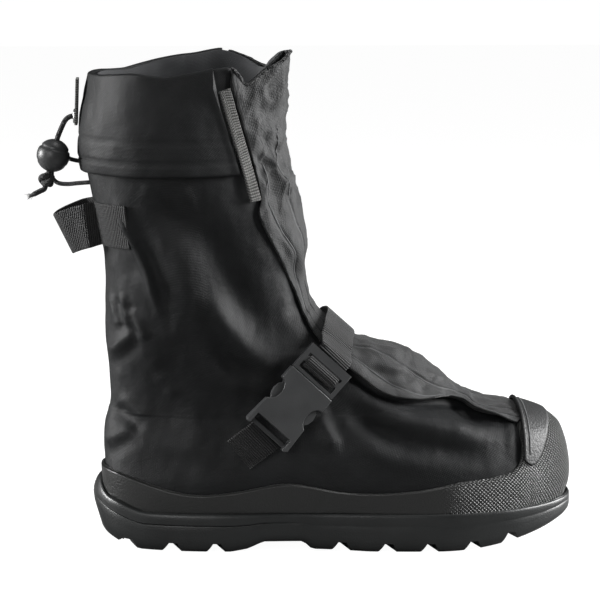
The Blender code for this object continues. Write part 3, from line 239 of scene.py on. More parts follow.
# Folds of the nylon. Columns: side (-1 outer, 1 inner, 0 both); half width and height in millimetres,
# a trough being below zero; places from the side, in millimetres along the foot and above the floor.
FOLDS = (
    (-1, 3.0, 3.0, ((-47, 236), (-45, 226), (-35, 206), (-27, 187), (-21, 164))),
    (-1, 7.0, -2.4, ((-38, 232), (-28, 206), (-19, 186), (-13, 166))),
    (-1, 6.0, -2.2, ((-53, 222), (-43, 200), (-35, 182))),
    (-1, 3.0, 2.4, ((-54, 173), (-46, 149))),
    (-1, 3.0, 2.4, ((-46, 176), (-40, 150))),
    (-1, 3.2, 2.6, ((-41, 166), (-28, 143))),
    (-1, 3.2, -2.2, ((-50, 172), (-43, 148))),
    (-1, 3.2, -2.2, ((-42, 170), (-34, 144))),
    (-1, 4.2, 2.0, ((-36, 150), (-56, 130))),
    (-1, 5.5, -1.6, ((-32, 142), (-56, 120))),
    (-1, 5.0, 2.2, ((-47, 103), (-28, 88))),
    (-1, 6.0, -2.2, ((-50, 95), (-32, 80))),
    (-1, 5.0, 2.0, ((-21, 122), (-8, 105))),
    (-1, 4.4, 1.8, ((-36, 84), (-60, 68))),
    (-1, 5.5, -1.3, ((-36, 76), (-60, 61))),
    (-1, 13.0, -7.0, ((-30, 244), (11, 212), (26, 188), (44, 162), (62, 146), (72, 136))),
    (-1, 8.0, 4.4, ((12, 176), (20, 163), (33, 145), (48, 131), (62, 123))),
    (-1, 8.0, -3.0, ((10, 142), (26, 128), (46, 117))),
    (-1, 8.0, 2.0, ((24, 118), (40, 110), (58, 104))),
    (-1, 7.0, -2.6, ((30, 112), (52, 104), (72, 100))),
    (-1, 6.0, 3.2, ((82, 100), (90, 88), (100, 69))),
    (-1, 7.0, -2.8, ((92, 101), (99, 84), (108, 68))),
    (-1, 7.0, -1.2, ((-19, 63), (5, 57))),
    (-1, 6.0, 0.9, ((-20, 72), (8, 66))),
    (-1, 6.0, 4.0, ((110, 108), (128, 96), (148, 88), (172, 83), (200, 77))),
    (-1, 7.0, -4.2, ((99, 102), (119, 87), (139, 77), (158, 72), (189, 66), (205, 64))),
    (-1, 6.0, 1.8, ((112, 74), (136, 64), (160, 59))),
    (-1, 3.2, -2.4, ((104, 126), (118, 114), (134, 105), (151, 100), (177, 97), (192, 89), (220, 83))),
    (-1, 12.0, 1.6, ((-2, 236), (2, 200), (-4, 160))),
    (-1, 10.0, -1.5, ((-14, 150), (-12, 126), (-22, 100))),
    (-1, 10.0, 1.4, ((6, 110), (2, 90), (10, 74))),
    (1, 9.0, -3.2, ((-24, 236), (8, 212), (26, 188), (46, 164), (66, 148))),
    (1, 7.0, 2.6, ((8, 190), (24, 172), (42, 152), (62, 138))),
    (1, 8.0, -1.8, ((16, 148), (36, 134), (58, 124))),
    (1, 3.2, 1.7, ((-40, 214), (-28, 184), (-24, 160))),
    (1, 6.0, -1.2, ((-32, 210), (-20, 182), (-16, 160))),
    (1, 3.0, 1.5, ((-50, 168), (-36, 146))),
    (1, 4.0, -1.4, ((-46, 160), (-32, 138))),
    (1, 3.4, 1.7, ((-40, 136), (-54, 122))),
    (1, 5.0, 1.3, ((-44, 98), (-24, 86))),
    (1, 6.0, -1.3, ((-46, 90), (-26, 77))),
    (1, 8.0, 1.8, ((20, 126), (42, 116), (64, 110))),
    (1, 6.0, 1.5, ((82, 104), (92, 86), (102, 70))),
    (1, 5.5, 2.0, ((108, 108), (130, 95), (152, 87), (176, 81), (200, 76))),
    (1, 6.5, -2.3, ((97, 100), (120, 86), (142, 76), (168, 69), (200, 64))),
    (1, 12.0, 1.5, ((2, 236), (-4, 200), (4, 160))),
)

# Folds of the closure panel, in the same columns
PANEL_FOLDS = (
    (-1, 5.0, -2.4, ((54, 246), (56, 236), (61, 220))),
    (-1, 3.0, 1.2, ((48, 244), (51, 232), (56, 216))),
    (-1, 2.4, 1.3, ((38, 306), (50, 286), (62, 270))),
    (-1, 2.6, -1.3, ((36, 296), (50, 276), (60, 262))),
    (-1, 2.4, 1.3, ((42, 284), (54, 270), (66, 262))),
    (-1, 2.6, -1.2, ((42, 272), (52, 258), (62, 250))),
    (-1, 2.4, 1.2, ((46, 264), (58, 252), (66, 240))),
    (-1, 2.2, 1.0, ((40, 262), (50, 262), (60, 268))),
    (-1, 2.4, -1.0, ((46, 292), (58, 292), (66, 284))),
    (-1, 4.0, 1.4, ((60, 226), (70, 206), (76, 186))),
    (-1, 3.0, -1.3, ((57, 214), (67, 196), (73, 176))),
    (-1, 3.0, 1.2, ((86, 156), (100, 146), (116, 141))),
    (-1, 4.0, -1.2, ((90, 150), (106, 140), (124, 135))),
    (-1, 3.2, 1.3, ((120, 128), (136, 121), (156, 117), (180, 106))),
    (-1, 3.0, -1.2, ((114, 126), (132, 117), (152, 113), (172, 104))),
    (-1, 3.0, -1.8, ((190, 99), (199, 94), (217, 94))),
    (-1, 2.6, 1.3, ((194, 103), (204, 98), (220, 98))),
    (0, 5.0, 1.0, ((128, 142), (150, 129), (176, 116))),
    (0, 6.0, -0.9, ((96, 160), (118, 149), (140, 139))),
    (1, 4.0, 1.3, ((60, 228), (70, 206), (76, 186))),
    (1, 4.0, -1.4, ((54, 240), (60, 222), (68, 200))),
    (1, 2.8, 1.2, ((40, 300), (54, 282), (62, 262))),
    (1, 2.8, -1.2, ((40, 286), (52, 270), (60, 252))),
    (1, 3.0, 1.2, ((112, 130), (132, 121), (156, 114))),
    (1, 3.0, -1.2, ((116, 124), (136, 115), (160, 108))),
)

# Stitched rows of the panel: places across it, -1 being its outer edge and 1 its inner one, and the
# stretches along it that are sewn, from the toe cap (0) to the collar (1)
PANEL_SEAMS = (-0.84, -0.52, 0.52, 0.84)
SEWN_STRETCHES = ((0.035, 0.400), (0.475, 0.745))

LINING_ROWS = 84
COLUMNS = 272
SEED = 11

# Textures whose size is a share of one of the pitches
PITCHED = {"weave": "weave_pitch", "ribs": "rib_pitch", "braid": "braid_pitch"}

# Finishes by name. Columns: material; roughness; other sockets; colour; factors of its dark and light
# tones; the texture that mixes them; its low and high ends; spread of the roughness; reliefs, as
# texture, size, detail, depth and strength.
MIXED = (0.3, 0.7)
FINISHES = {
    "nylon": ("woven_nylon", 0.56, {"Specular_IOR_Level": 0.24}, "nylon", 0.8, 1.25,
              ("noise", 0.030), MIXED, 0.10,
              (("noise", 0.0060, 4.0, 0.0009, 0.5), ("weave", 1.0, 0, 0.14, 0.8))),
    "lining": ("shaft_lining", 0.75, {"Specular_IOR_Level": 0.25, "Sheen_Weight": 0.10}, "lining", 0.8, 1.2,
               ("noise", 0.02), MIXED, 0, (("weave", 1.4, 0, 0.2, 0.6),)),
    "panel": ("panel_cloth", 0.64,
              {"Specular_IOR_Level": 0.32, "Sheen_Weight": 0.08, "Sheen_Roughness": 0.5}, "panel", 0.75, 1.25,
              ("noise", 0.02), MIXED, 0,
              (("noise", 0.0045, 5.0, 0.0010, 0.6), ("weave", 1.2, 0, 0.28, 0.9))),
    "sole": ("sole_rubber", 0.38, {"Specular_IOR_Level": 0.45}, "sole", 0.85, 1.2,
             ("Mottle", 0.0012), MIXED, 0.16, (("Height", 0.0012, 0, 0.00012, 0.6),)),
    "leather": ("patch_leather", 0.52, {"Specular_IOR_Level": 0.40}, "leather", 0.8, 1.2,
                ("Mottle", 0.0015), MIXED, 0, (("Height", 0.0015, 0, 0.0003, 0.8),)),
    # The webbing and the tab are tinted by their rib height: painted shade between the ribs and painted
    # highlight on their tops.
    "webbing": ("ribbed_webbing", 0.66,
                {"Specular_IOR_Level": 0.35, "Sheen_Weight": 0.15, "Sheen_Roughness": 0.45},
                "webbing", 0.4, 1.5, ("ribs", 1.0), (0.2, 1.0), 0, (("ribs", 1.0, 0, 0.40, 1.0),)),
    "tab": ("grey_webbing", 0.6,
            {"Specular_IOR_Level": 0.35, "Sheen_Weight": 0.15, "Sheen_Roughness": 0.45},
            "tab", 0.15, 1.2, ("ribs", 1.0), (0.3, 1.1), 0, (("ribs", 1.0, 0, 0.40, 1.0),)),
    "plastic": ("buckle_plastic", 0.40, {"Specular_IOR_Level": 0.45}, "plastic", 0.9, 1.1,
                ("Mottle", 0.0007), MIXED, 0.1, (("Height", 0.0007, 0, 0.00005, 0.7),)),
    "cord": ("braided_cord", 0.55, {"Specular_IOR_Level": 0.40, "Sheen_Weight": 0.15}, "cord", 0.7, 1.4,
             ("noise", 0.002), MIXED, 0, (("braid", 1.0, 0, 0.3, 1.0),)),
    "thread": ("seam_thread", 0.6, {"Specular_IOR_Level": 0.35, "Sheen_Weight": 0.15}, "thread", 0.8, 1.2,
               ("noise", 0.001), MIXED, 0, (("noise", 0.0004, 3.0, 0.0001, 0.6),)),
    "foam": ("insole_liner", 0.85, {"Specular_IOR_Level": 0.25}, "lining", 1.6, 2.4,
             ("noise", 0.004), MIXED, 0, (("noise", 0.0008, 3.0, 0.0002, 0.8),)),
    "metal": ("eyelet_metal", 0.34, {"Metallic": 1.0}, "metal", 0.75, 1.1,
              ("noise", 0.0015), MIXED, 0, (("noise", 0.0006, 3.0, 0.00004, 0.6),)),
}

# Lights: name; place; size
LIGHTS = (("key", (1.55, -0.28, 0.75), 0.6), ("toe", (1.45, 0.38, 0.34), 0.6),
          ("fill", (-0.75, -1.6, 0.80), 1.0), ("rim", (-1.5, 0.18, 0.50), 0.5),
          ("top", (0.45, 0.10, 1.7), 0.7))
LIGHT_AIM = (0.06, 0.0, 0.14)
FLOOR_SIZE = 6.0

# Waves and creases of the cloth: size; seed; stretch; height
UPPER_WAVES = ((0.055, 3.0, (1, 1, 1), 0.0011), (0.021, 7.0, (1.3, 1, 0.7), 0.00055),
               (0.0095, 1.0, (1.5, 1, 0.8), 0.00022))
PANEL_WAVES = ((0.017, 2.0, (1.2, 0.9, 1), 0.0011), (0.0075, 6.0, (1, 1, 1), 0.0005))
PANEL_CREASES = ((0.026, 4.0, (1, 1, 1), 0.0024), (0.013, 8.0, (1, 1, 0.8), 0.0013))
CUFF_WAVES = ((0.034, 9.0, (1, 1, 0.6), 0.0014), (0.013, 4.0, (1, 1, 1), 0.0005))

# The turned cuff: gap to the flap; the hem's two seams, with their depth and half width
CUFF_GAP = 0.0030
CUFF_COLUMNS = 260
HEMS = (0.2655, 0.2785)
HEM_DEPTH = 0.0007
HEM_WIDTH = 0.0009

# Rows of the upper's outer face, below and above the instep's last section
INSTEP_LEVEL = 16
FOOT_ROWS = 78
SHAFT_ROWS = 104

# The patch's piping and its stitched row behind the back edge, and the knot's steps
PIPING = 0.0026
PIPING_INSET = 0.0006
STITCH_INSET = 0.0042
KNOT_STEPS = 120
FLOOR_GLOW = 0.97
SOLE_COLUMNS = 288
SPINE_ROWS = 10
RAND_COLUMNS = 320
PANEL_OUT = LAYER_GAP + 0.0014
FAN_PIVOT = (-0.030, 0.020)
PANEL_ROWS = 250
PANEL_COLUMNS = 120
BELT_WIDE = np.array((math.cos(STRAP_TILT), 0.0, -math.sin(STRAP_TILT)))
BELT_DOWN = np.array((-math.sin(STRAP_TILT), 0.0, -math.cos(STRAP_TILT)))
BELT_OUT = LAYER_GAP + PANEL_FABRIC + LAYER_GAP

# The belt's turn round the plug's bar: distance down the strap and height over its back
BELT_TUCK = ((0.0070, 0.0016), (0.0072, 0.0045), (0.0080, 0.0068), (0.0094, 0.0079), (0.0108, 0.0082),
             (0.0122, 0.0079), (0.0136, 0.0068), (0.0146, 0.0045), (0.0150, 0.0016))


def x_of(share):
    """A place along the foot, from the heel's back (0) to the toe's tip (1)."""
    return (share - LEG_SHARE) * FOOT_LENGTH


def share_of(x):
    return x / FOOT_LENGTH + LEG_SHARE


def read(rows, at):
    """Reads a small table, straight between its rows."""
    rows = sorted(rows)
    return np.interp(at, [r[0] for r in rows], [r[1] for r in rows])


def nearest(share, count):
    """The row or column of a count that lies nearest to a share of the way."""
    return np.rint(share * count).astype(int)


def smooth_step(value, low, high):
    u = np.clip((value - low) / (high - low), 0.0, 1.0)
    return u * u * (3 - 2 * u)


def all_sections():
    """Every section in metres: height, back, front, widest, outer, inner, roundness, waist, swing."""
    rows = []
    for h, b, f, w, outer, inner, nf, nb, waist, swing in FOOT_SECTIONS:
        rows.append((h * INSTEP_HEIGHT, x_of(b), x_of(f), x_of(w), outer * BALL_WIDTH,
                     inner * BALL_WIDTH, nf, nb, waist, swing * BALL_WIDTH))
    shaft = BOOT_HEIGHT - INSTEP_HEIGHT
    for h, b, f, w, half, n in SHAFT_SECTIONS:
        rows.append((INSTEP_HEIGHT + h * shaft, b * SHAFT_DEPTH, f * SHAFT_DEPTH, w * SHAFT_DEPTH,
                     half * SHAFT_WIDTH, half * SHAFT_WIDTH, n, n, 0.0, 0.0))
    return np.array(rows)


SECTIONS = all_sections()
TOP_LEVEL = len(SECTIONS) - 1


def sections_at(level):
    """Sections at an array of levels counted in rows, on a smooth curve through the rows."""
    i = np.clip(np.floor(level).astype(int), 0, TOP_LEVEL - 1)
    u = (level - i)[..., None]
    p1, p2 = SECTIONS[i], SECTIONS[i + 1]
    m1 = (p2 - SECTIONS[np.maximum(i - 1, 0)]) / 2
    m2 = (SECTIONS[np.minimum(i + 2, TOP_LEVEL)] - p1) / 2
    return ((2 * u**3 - 3 * u**2 + 1) * p1 + (u**3 - 2 * u**2 + u) * m1
            + (3 * u**2 - 2 * u**3) * p2 + (u**3 - u**2) * m2)


def spring(x):
    """How far the toe lifts off the floor."""
    return TOE_SPRING * np.maximum(0.0, (share_of(x) - SPRING_START) / (1 - SPRING_START)) ** 2


def tread_height(x):
    return ARCH_RISE * read(TREAD_RISE, share_of(x)) + spring(x)


def cup_floor(x):
    return FLOOR_HEIGHT + 0.6 * spring(x)


def rim_height(x):
    """The top edge of the cup sole, which climbs round the heel."""
    heel = smooth_step(x_of(0.10) - x, 0.0, 0.10 * FOOT_LENGTH)
    return RIM_HEIGHT + 0.18 * spring(x) + HEEL_RIM_RISE * heel


def ledge_bell(x, y):
    """1 at the middle of the heel's back, 0 at the kick ledge's sides."""
    bell = smooth_step(KICK_LEDGE_WIDTH / 2 - np.abs(y), 0.0, KICK_LEDGE_WIDTH / 2)
    return np.where(x > x_of(0.12), 0.0, bell)


@lru_cache
def rim_wave():
    """The rim's drop at every degree, smooth through the table's places."""
    at = np.arange(-360, 721)
    rows = [(a + turn, d) for turn in (-360, 0, 360) for a, d in RIM_WAVE[:-1]]
    straight = read(rows, at)
    return at[360:721], np.convolve(straight, np.ones(31) / 31, "same")[360:721]


@lru_cache
def rim_crumple():
    """The crumpled rim's rise and lean at every degree."""
    at = np.arange(-360, 721)
    rows = np.array([(a + turn, rise, lean) for turn in (-360, 0, 360) for a, rise, lean in RIM_CRUMPLE[:-1]])
    soft = np.ones(7) / 7
    return [np.convolve(np.interp(at, rows[:, 0], rows[:, k]), soft, "same")[360:721] for k in (1, 2)]


def rim_shift(z, angle):
    """How far points near the collar go up and out from the even shaft."""
    at, wave = rim_wave()
    rise, lean = rim_crumple()
    turn = np.degrees(angle) % 360
    high = smooth_step(z, BOOT_HEIGHT * 0.86, BOOT_HEIGHT)
    crumpled = smooth_step(z, BOOT_HEIGHT * CRUMPLE_START, BOOT_HEIGHT)
    up = np.interp(turn, at, rise) * crumpled - np.interp(turn, at, wave) * high
    return up * SHAFT_WIDTH, np.interp(turn, at, lean) * crumpled * SHAFT_WIDTH


def form_points(level, angle):
    """Points of the upper's outer face. The angle runs from the toe round the inner side."""
    level, angle = np.broadcast_arrays(np.asarray(level, float), np.asarray(angle, float))
    z, back, front, widest, outer, inner, nf, nb, waist, swing = np.moveaxis(sections_at(level), -1, 0)
    c, s = np.cos(angle), np.sin(angle)
    n = np.where(c >= 0, nf, nb)
    along = np.sign(c) * np.abs(c) ** (2 / n)
    x = widest + along * np.where(along > 0, front - widest, widest - back)
    half = np.where(s >= 0, inner, outer)
    side = np.where(s >= 0, 1.35, 0.75)
    pinch = 1 - waist * side * np.exp(-(((share_of(x) - 0.42) / 0.17) ** 2))
    y = np.sign(s) * np.abs(s) ** (2 / n) * half * pinch + swing * np.maximum(0.0, along) ** 2
    low = 1 - smooth_step(z, SECTIONS[0][0], SECTIONS[2][0])
    lift = (cup_floor(x) + CLEARANCE - SECTIONS[0][0]) * low
    up, lean = rim_shift(z, angle)
    return np.stack((x + lean * c, y + lean * s, z + lift + up), axis=-1)


def form_normals(level, angle):
    """Outward directions of the form."""
    level, angle = np.broadcast_arrays(np.asarray(level, float), np.asarray(angle, float))
    step = 0.03
    across = form_points(level, angle + step) - form_points(level, angle - step)
    up = (form_points(np.minimum(level + step, TOP_LEVEL), angle)
          - form_points(np.maximum(level - step, 0), angle))
    normal = np.cross(across, up)
    flat = (level < 2) | (level > TOP_LEVEL - 1)
    normal[..., 2] = np.where(flat, 0.0, normal[..., 2])
    return normal / np.linalg.norm(normal, axis=-1, keepdims=True)


def surface(level, angle):
    """The form's points with their outward directions."""
    return form_points(level, angle), form_normals(level, angle)


def form(level, angle, out=0.0):
    """The form moved out by a distance along its normal."""
    return form_points(level, angle) + form_normals(level, angle) * np.asarray(out)[..., None]


@lru_cache
def ring_angles(count=COLUMNS):
    """Angles round a section, closed, with the last one a full turn from the first."""
    turn = np.linspace(0, math.pi, 361)
    walk = form_points(2.0, turn)
    run = np.concatenate(([0.0], np.cumsum(np.linalg.norm(np.diff(walk, axis=0), axis=1))))
    share = 0.6 * run / run[-1] + 0.4 * turn / math.pi
    half = np.interp(np.linspace(0, 1, count // 2 + 1), share, turn)
    return np.concatenate((half, 2 * math.pi - half[-2::-1]))


@lru_cache
def level_heights():
    levels = np.linspace(0, TOP_LEVEL, 40 * TOP_LEVEL + 1)
    return sections_at(levels)[:, 0], levels


def level_at(z):
    """The levels whose sections have these heights."""
    return np.interp(z, *level_heights())


def side_place(x, z, side):
    """Level and angle of the form's points that lie at x and z on the outer (-1) or inner side (1)."""
    x, z = np.asarray(x, float), np.asarray(z, float)
    angle = np.full(x.shape, math.pi / 2)
    for _ in range(4):
        level = level_at(z - rim_shift(z, side * angle)[0])
        _, back, front, widest, _, _, nf, nb, _, _ = np.moveaxis(sections_at(level), -1, 0)
        ahead = x >= widest
        along = np.clip((x - widest) / np.where(ahead, front - widest, widest - back), -1, 1)
        c = np.sign(along) * np.abs(along) ** (np.where(ahead, nf, nb) / 2)
        angle = np.arccos(c)
    return level, side * angle


def smooth_curve(points, step):
    """Points at even steps on a curve through the given ones."""
    pts = np.array(points, float)
    padded = np.vstack((2 * pts[0] - pts[1], pts, 2 * pts[-1] - pts[-2]))
    dense = []
    for i in range(1, len(padded) - 2):
        p0, p1, p2, p3 = padded[i - 1:i + 3]
        for u in np.linspace(0, 1, 12, endpoint=False):
            dense.append(0.5 * (2 * p1 + (p2 - p0) * u + (2 * p0 - 5 * p1 + 4 * p2 - p3) * u**2
                                + (3 * p1 - p0 - 3 * p2 + p3) * u**3))
    dense.append(pts[-1])
    return resample(dense, step)


def resample(points, step=None, count=None):
    """Even steps along a line through points."""
    points = np.array(points)
    run = np.concatenate(([0.0], np.cumsum(np.linalg.norm(np.diff(points, axis=0), axis=1))))
    count = count or max(2, int(math.ceil(run[-1] / step)) + 1)
    at = np.linspace(0.0, run[-1], count)
    return np.stack([np.interp(at, run, points[:, k]) for k in range(points.shape[1])], axis=1)


def line_distance(x, z, run):
    """Distance from points in the side view to a line, and how far along it they are (0 to 1)."""
    run = np.array(run) * MM
    lengths = np.linalg.norm(np.diff(run, axis=0), axis=1)
    total = lengths.sum()
    best, along, walked = np.full(x.shape, 9.0), np.zeros(x.shape), 0.0
    for a, b, length in zip(run, run[1:], lengths):
        t = np.clip(((x - a[0]) * (b[0] - a[0]) + (z - a[1]) * (b[1] - a[1])) / length**2, 0, 1)
        d = np.hypot(x - a[0] - t * (b[0] - a[0]), z - a[1] - t * (b[1] - a[1]))
        along = np.where(d < best, (walked + t * length) / total, along)
        best = np.minimum(d, best)
        walked += length
    return best, along


def fold_height(spots, folds):
    """How far the given folds lift or sink points, as soft ridges and troughs."""
    x, y, z = spots[:, 0], spots[:, 1], spots[:, 2]
    total = np.zeros(len(spots))
    for side, width, height, run in folds:
        line = smooth_curve(run, 5.0)
        low, high = (line.min(axis=0) - 3 * width) * MM, (line.max(axis=0) + 3 * width) * MM
        near = np.nonzero((x > low[0]) & (x < high[0]) & (z > low[1]) & (z < high[1]) & (side * y >= 0))[0]
        if not len(near):
            continue
        d, along = line_distance(x[near], z[near], line)
        ends = np.minimum(1.0, 4.0 * np.minimum(along + 0.05, 1.05 - along))
        here = 1.0 if side == 0 else smooth_step(side * y[near], 0.0, 0.014)
        total[near] += height * MM * np.exp(-((d / (width * MM)) ** 2)) * ends * here
    return total


def rumple(spots, size, seed=0.0, stretch=(1, 1, 1)):
    """Soft irregular waves of cloth, about -1 to 1."""
    scale = np.array(stretch) / size
    return np.array([noise.noise(Vector(p * scale + seed)) for p in spots]) * 1.6


def waves(spots, rows, shape=rumple):
    """The waves or creases of a table, added up."""
    return sum(shape(spots, size, seed, stretch) * height for size, seed, stretch, height in rows)


def crease(spots, size, seed=0.0, stretch=(1, 1, 1)):
    """Sharp crossing creases of stiff cloth, 0 in the flats to 1 on a crease."""
    return np.clip(1 - 3.2 * np.abs(rumple(spots, size, seed, stretch)), 0, 1)


def rand_top(x):
    """Height of the rand's top line at x."""
    curve = rand_line()
    ahead = curve[:, 0] < x_of(CAP_BACK) - 0.004
    return np.interp(x, curve[ahead][:, 0], curve[ahead][:, 1])


@lru_cache
def rand_line():
    return smooth_curve([(x_of(s), h * INSTEP_HEIGHT) for s, h in RAND_TOP], 0.002)


@lru_cache
def panel_line():
    """The front panel's edge in the side view, from the toe cap up to the collar."""
    low = smooth_curve([(x_of(s), h * BOOT_HEIGHT) for s, h in PANEL_EDGE], 0.002)
    high = np.array([(x_of(s), h * BOOT_HEIGHT) for s, h in FLAP_EDGE[1:]])
    return resample(np.vstack((low, high)), 0.002)


def in_panel(x, z):
    """Distance in front of the panel's edge, below zero behind it."""
    line = panel_line()
    d, along = line_distance(x, z, line / MM)
    near = resample(line, count=400)
    i = np.clip((along * 399).astype(int), 0, 398)
    run = near[i + 1] - near[i]
    turn = run[:, 0] * (z - near[i][:, 1]) - run[:, 1] * (x - near[i][:, 0])
    return np.where(turn < 0, d, -d)


def mesh_of(bm, name):
    """A new mesh of a bmesh, which is freed."""
    mesh = bpy.data.meshes.new(name)
    bm.to_mesh(mesh)
    bm.free()
    return mesh


def add_object(name, data):
    obj = bpy.data.objects.new(name, data)
    bpy.context.scene.collection.objects.link(obj)
    return obj


def shade(mesh, sharp):
    """Smooth faces with sharp edges above an angle in degrees."""
    mesh.shade_smooth()
    mesh.set_sharp_from_angle(angle=math.radians(sharp))


def thicken(piece, thickness):
    """Gives an open sheet a wall on its inner side."""
    wall = piece.modifiers.new("wall", "SOLIDIFY")
    wall.thickness, wall.offset = thickness, -1


def grid_mesh(name, columns, rows, place, weld=True, second_from=None):
    """A grid whose points are set by place(u, v), with a UV map in metres along and across it. Rows
    from second_from on take the second material."""
    bm = bmesh.new()
    bm.loops.layers.uv.new("UVMap")
    bmesh.ops.create_grid(bm, x_segments=columns, y_segments=rows, size=0.5, calc_uvs=True)
    mesh = mesh_of(bm, name)
    flat = np.empty(len(mesh.vertices) * 3, np.float32)
    mesh.vertices.foreach_get("co", flat)
    flat = flat.reshape(-1, 3) + 0.5
    i, j = nearest(flat[:, 0], columns), nearest(flat[:, 1], rows)
    spots = place(i / columns, j / rows)
    mesh.vertices.foreach_set("co", spots.astype(np.float32).ravel())
    net = np.zeros((columns + 1, rows + 1, 3))
    net[i, j] = spots
    across = np.linalg.norm(np.diff(net, axis=0), axis=2).mean(axis=1)
    across = np.concatenate(([0.0], np.cumsum(across)))
    steps = np.linalg.norm(np.diff(net, axis=1), axis=2)
    window = min(9, columns)
    steps = sum(np.roll(steps, k, axis=0) for k in range(-(window // 2), window // 2 + 1)) / window
    along = np.concatenate((np.zeros((columns + 1, 1)), np.cumsum(steps, axis=1)), axis=1)
    corner = np.empty(len(mesh.loops), np.int32)
    mesh.loops.foreach_get("vertex_index", corner)
    chart = np.stack((across[i[corner]], along[i[corner], j[corner]]), axis=1)
    mesh.uv_layers[0].data.foreach_set("uv", chart.astype(np.float32).ravel())
    if second_from is not None:
        first = corner[np.array([face.loop_start for face in mesh.polygons])]
        kinds = (j[first] >= second_from).astype(np.int32)
        mesh.polygons.foreach_set("material_index", kinds)
    if weld:
        weld_mesh(mesh)
    return mesh


def weld_mesh(mesh, near=2e-6, close=False):
    """Merges a seam or pole, closes open ends if asked and turns the faces outwards."""
    bm = bmesh.new()
    bm.from_mesh(mesh)
    bmesh.ops.remove_doubles(bm, verts=bm.verts[:], dist=near)
    if close:
        bmesh.ops.holes_fill(bm, edges=[e for e in bm.edges if e.is_boundary], sides=0)
    bmesh.ops.recalc_face_normals(bm, faces=bm.faces[:])
    bm.to_mesh(mesh)
    bm.free()


def make_piece(name, mesh, materials, replaced=(), sharp=40):
    """An object on the shoe's one body that shows a mesh, in place of solids of the model."""
    shade(mesh, sharp)
    for material in materials if isinstance(materials, list) else [materials]:
        mesh.materials.append(material)
    obj = add_object(name, mesh)
    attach(obj, "root")
    if replaced:
        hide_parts(*replaced)
    return obj


def strip_mesh(name, centres, wides, width, thickness, face, columns=20):
    """A flat band along centres, with its width along the given vectors and its thickness to the side
    that face looks to at its start. Its edges are round and its ends are closed."""
    centres, wides = np.array(centres), np.array(wides)
    tangent = np.gradient(centres, axis=0)
    tangent /= np.linalg.norm(tangent, axis=1, keepdims=True)
    wides = wides - tangent * (wides * tangent).sum(axis=1, keepdims=True)
    wides /= np.linalg.norm(wides, axis=1, keepdims=True)
    normal = np.cross(tangent, wides)
    normal *= 1 if normal[0].dot(face) > 0 else -1
    rim = 3
    side = np.linspace(-1, 1, columns + 1)
    turn = np.linspace(-math.pi / 2, math.pi / 2, 2 * rim + 1)[1:-1]
    half, thick = width / 2 - thickness / 2, thickness / 2
    top = [(s * half, thickness) for s in side]
    right = [(half + thick * math.cos(a), thick - thick * math.sin(a)) for a in turn]
    left = [(-half - thick * math.cos(a), thick + thick * math.sin(a)) for a in turn]
    ring = np.array(top + right + [(-s * half, 0.0) for s in side] + left + top[:1])

    def place(u, v):
        k = nearest(u, len(ring) - 1)
        r = nearest(v, len(centres) - 1)
        return centres[r] + wides[r] * ring[k, :1] + normal[r] * ring[k, 1:]

    mesh = grid_mesh(name, len(ring) - 1, len(centres) - 1, place, weld=False)
    weld_mesh(mesh, close=True)
    return mesh


def tube_mesh(name, path, diameter, sides=14, taper=0):
    """A round cord along a path, closed at both ends, with its last points drawn in over taper."""
    path = np.array(path)
    tangent = np.gradient(path, axis=0)
    tangent /= np.linalg.norm(tangent, axis=1, keepdims=True)
    across = [np.cross(tangent[0], (0.3, 0.9, 0.1))]
    for t in tangent[1:]:
        across.append(across[-1] - t * across[-1].dot(t))
    across = np.array(across) / np.linalg.norm(across, axis=1, keepdims=True)
    beside = np.cross(tangent, across)
    radius = np.full(len(path), diameter / 2)
    if taper:
        radius[-taper:] *= np.linspace(1.0, 0.55, taper)

    def place(u, v):
        r = nearest(v, len(path) - 1)
        turn = 2 * math.pi * u
        around = across[r] * np.cos(turn)[:, None] + beside[r] * np.sin(turn)[:, None]
        return path[r] + around * radius[r][:, None]

    mesh = grid_mesh(name, sides, len(path) - 1, place, weld=False)
    weld_mesh(mesh, close=True)
    return mesh


def stitch_mesh(name, rows, length, gap, thick=0.0009):
    """Stitches along rows of surface points, each row being places and outward directions."""
    mesh = bpy.data.meshes.new(name)
    every = bmesh.new()
    for spots, outs in rows:
        bm = bmesh.new()
        spots, outs = np.array(spots), np.array(outs)
        both = resample(np.hstack((spots, outs)), length + gap)
        for here, after in zip(both, both[1:]):
            a, out = Vector(here[:3]), Vector(here[3:]).normalized()
            run = Vector(after[:3]) - a
            forward = (run - out * run.dot(out)).normalized()
            beside = out.cross(forward)
            middle = a + run / 2 + out * thick * 0.15
            axes = (forward * length / 2, beside * thick / 2, out * thick / 2)
            place = Matrix([[axes[k][r] for k in range(3)] + [middle[r]] for r in range(3)] + [[0, 0, 0, 1]])
            bmesh.ops.create_icosphere(bm, subdivisions=1, radius=1.0, matrix=place)
        bm.to_mesh(mesh)
        bm.free()
        every.from_mesh(mesh)
    bmesh.ops.recalc_face_normals(every, faces=every.faces[:])
    every.to_mesh(mesh)
    every.free()
    return mesh


def shader_group(name, inputs, outputs):
    """An empty shader group with number and vector sockets."""
    group = bpy.data.node_groups.new(name, "ShaderNodeTree")
    kinds = {"f": "NodeSocketFloat", "v": "NodeSocketVector"}
    for socket, kind, value in inputs:
        made = group.interface.new_socket(socket, in_out="INPUT", socket_type=kinds[kind])
        if value is not None:
            made.default_value = value
    for socket, kind in outputs:
        group.interface.new_socket(socket, in_out="OUTPUT", socket_type=kinds[kind])
    return group, group.nodes.new("NodeGroupInput"), group.nodes.new("NodeGroupOutput")


def add_math(tree, operation, *values):
    """A math node fed by numbers or sockets."""
    node = tree.nodes.new("ShaderNodeMath")
    node.operation = operation
    for socket, value in zip(node.inputs, values):
        if isinstance(value, (int, float)):
            socket.default_value = value
        else:
            tree.links.new(value, socket)
    return node.outputs[0]


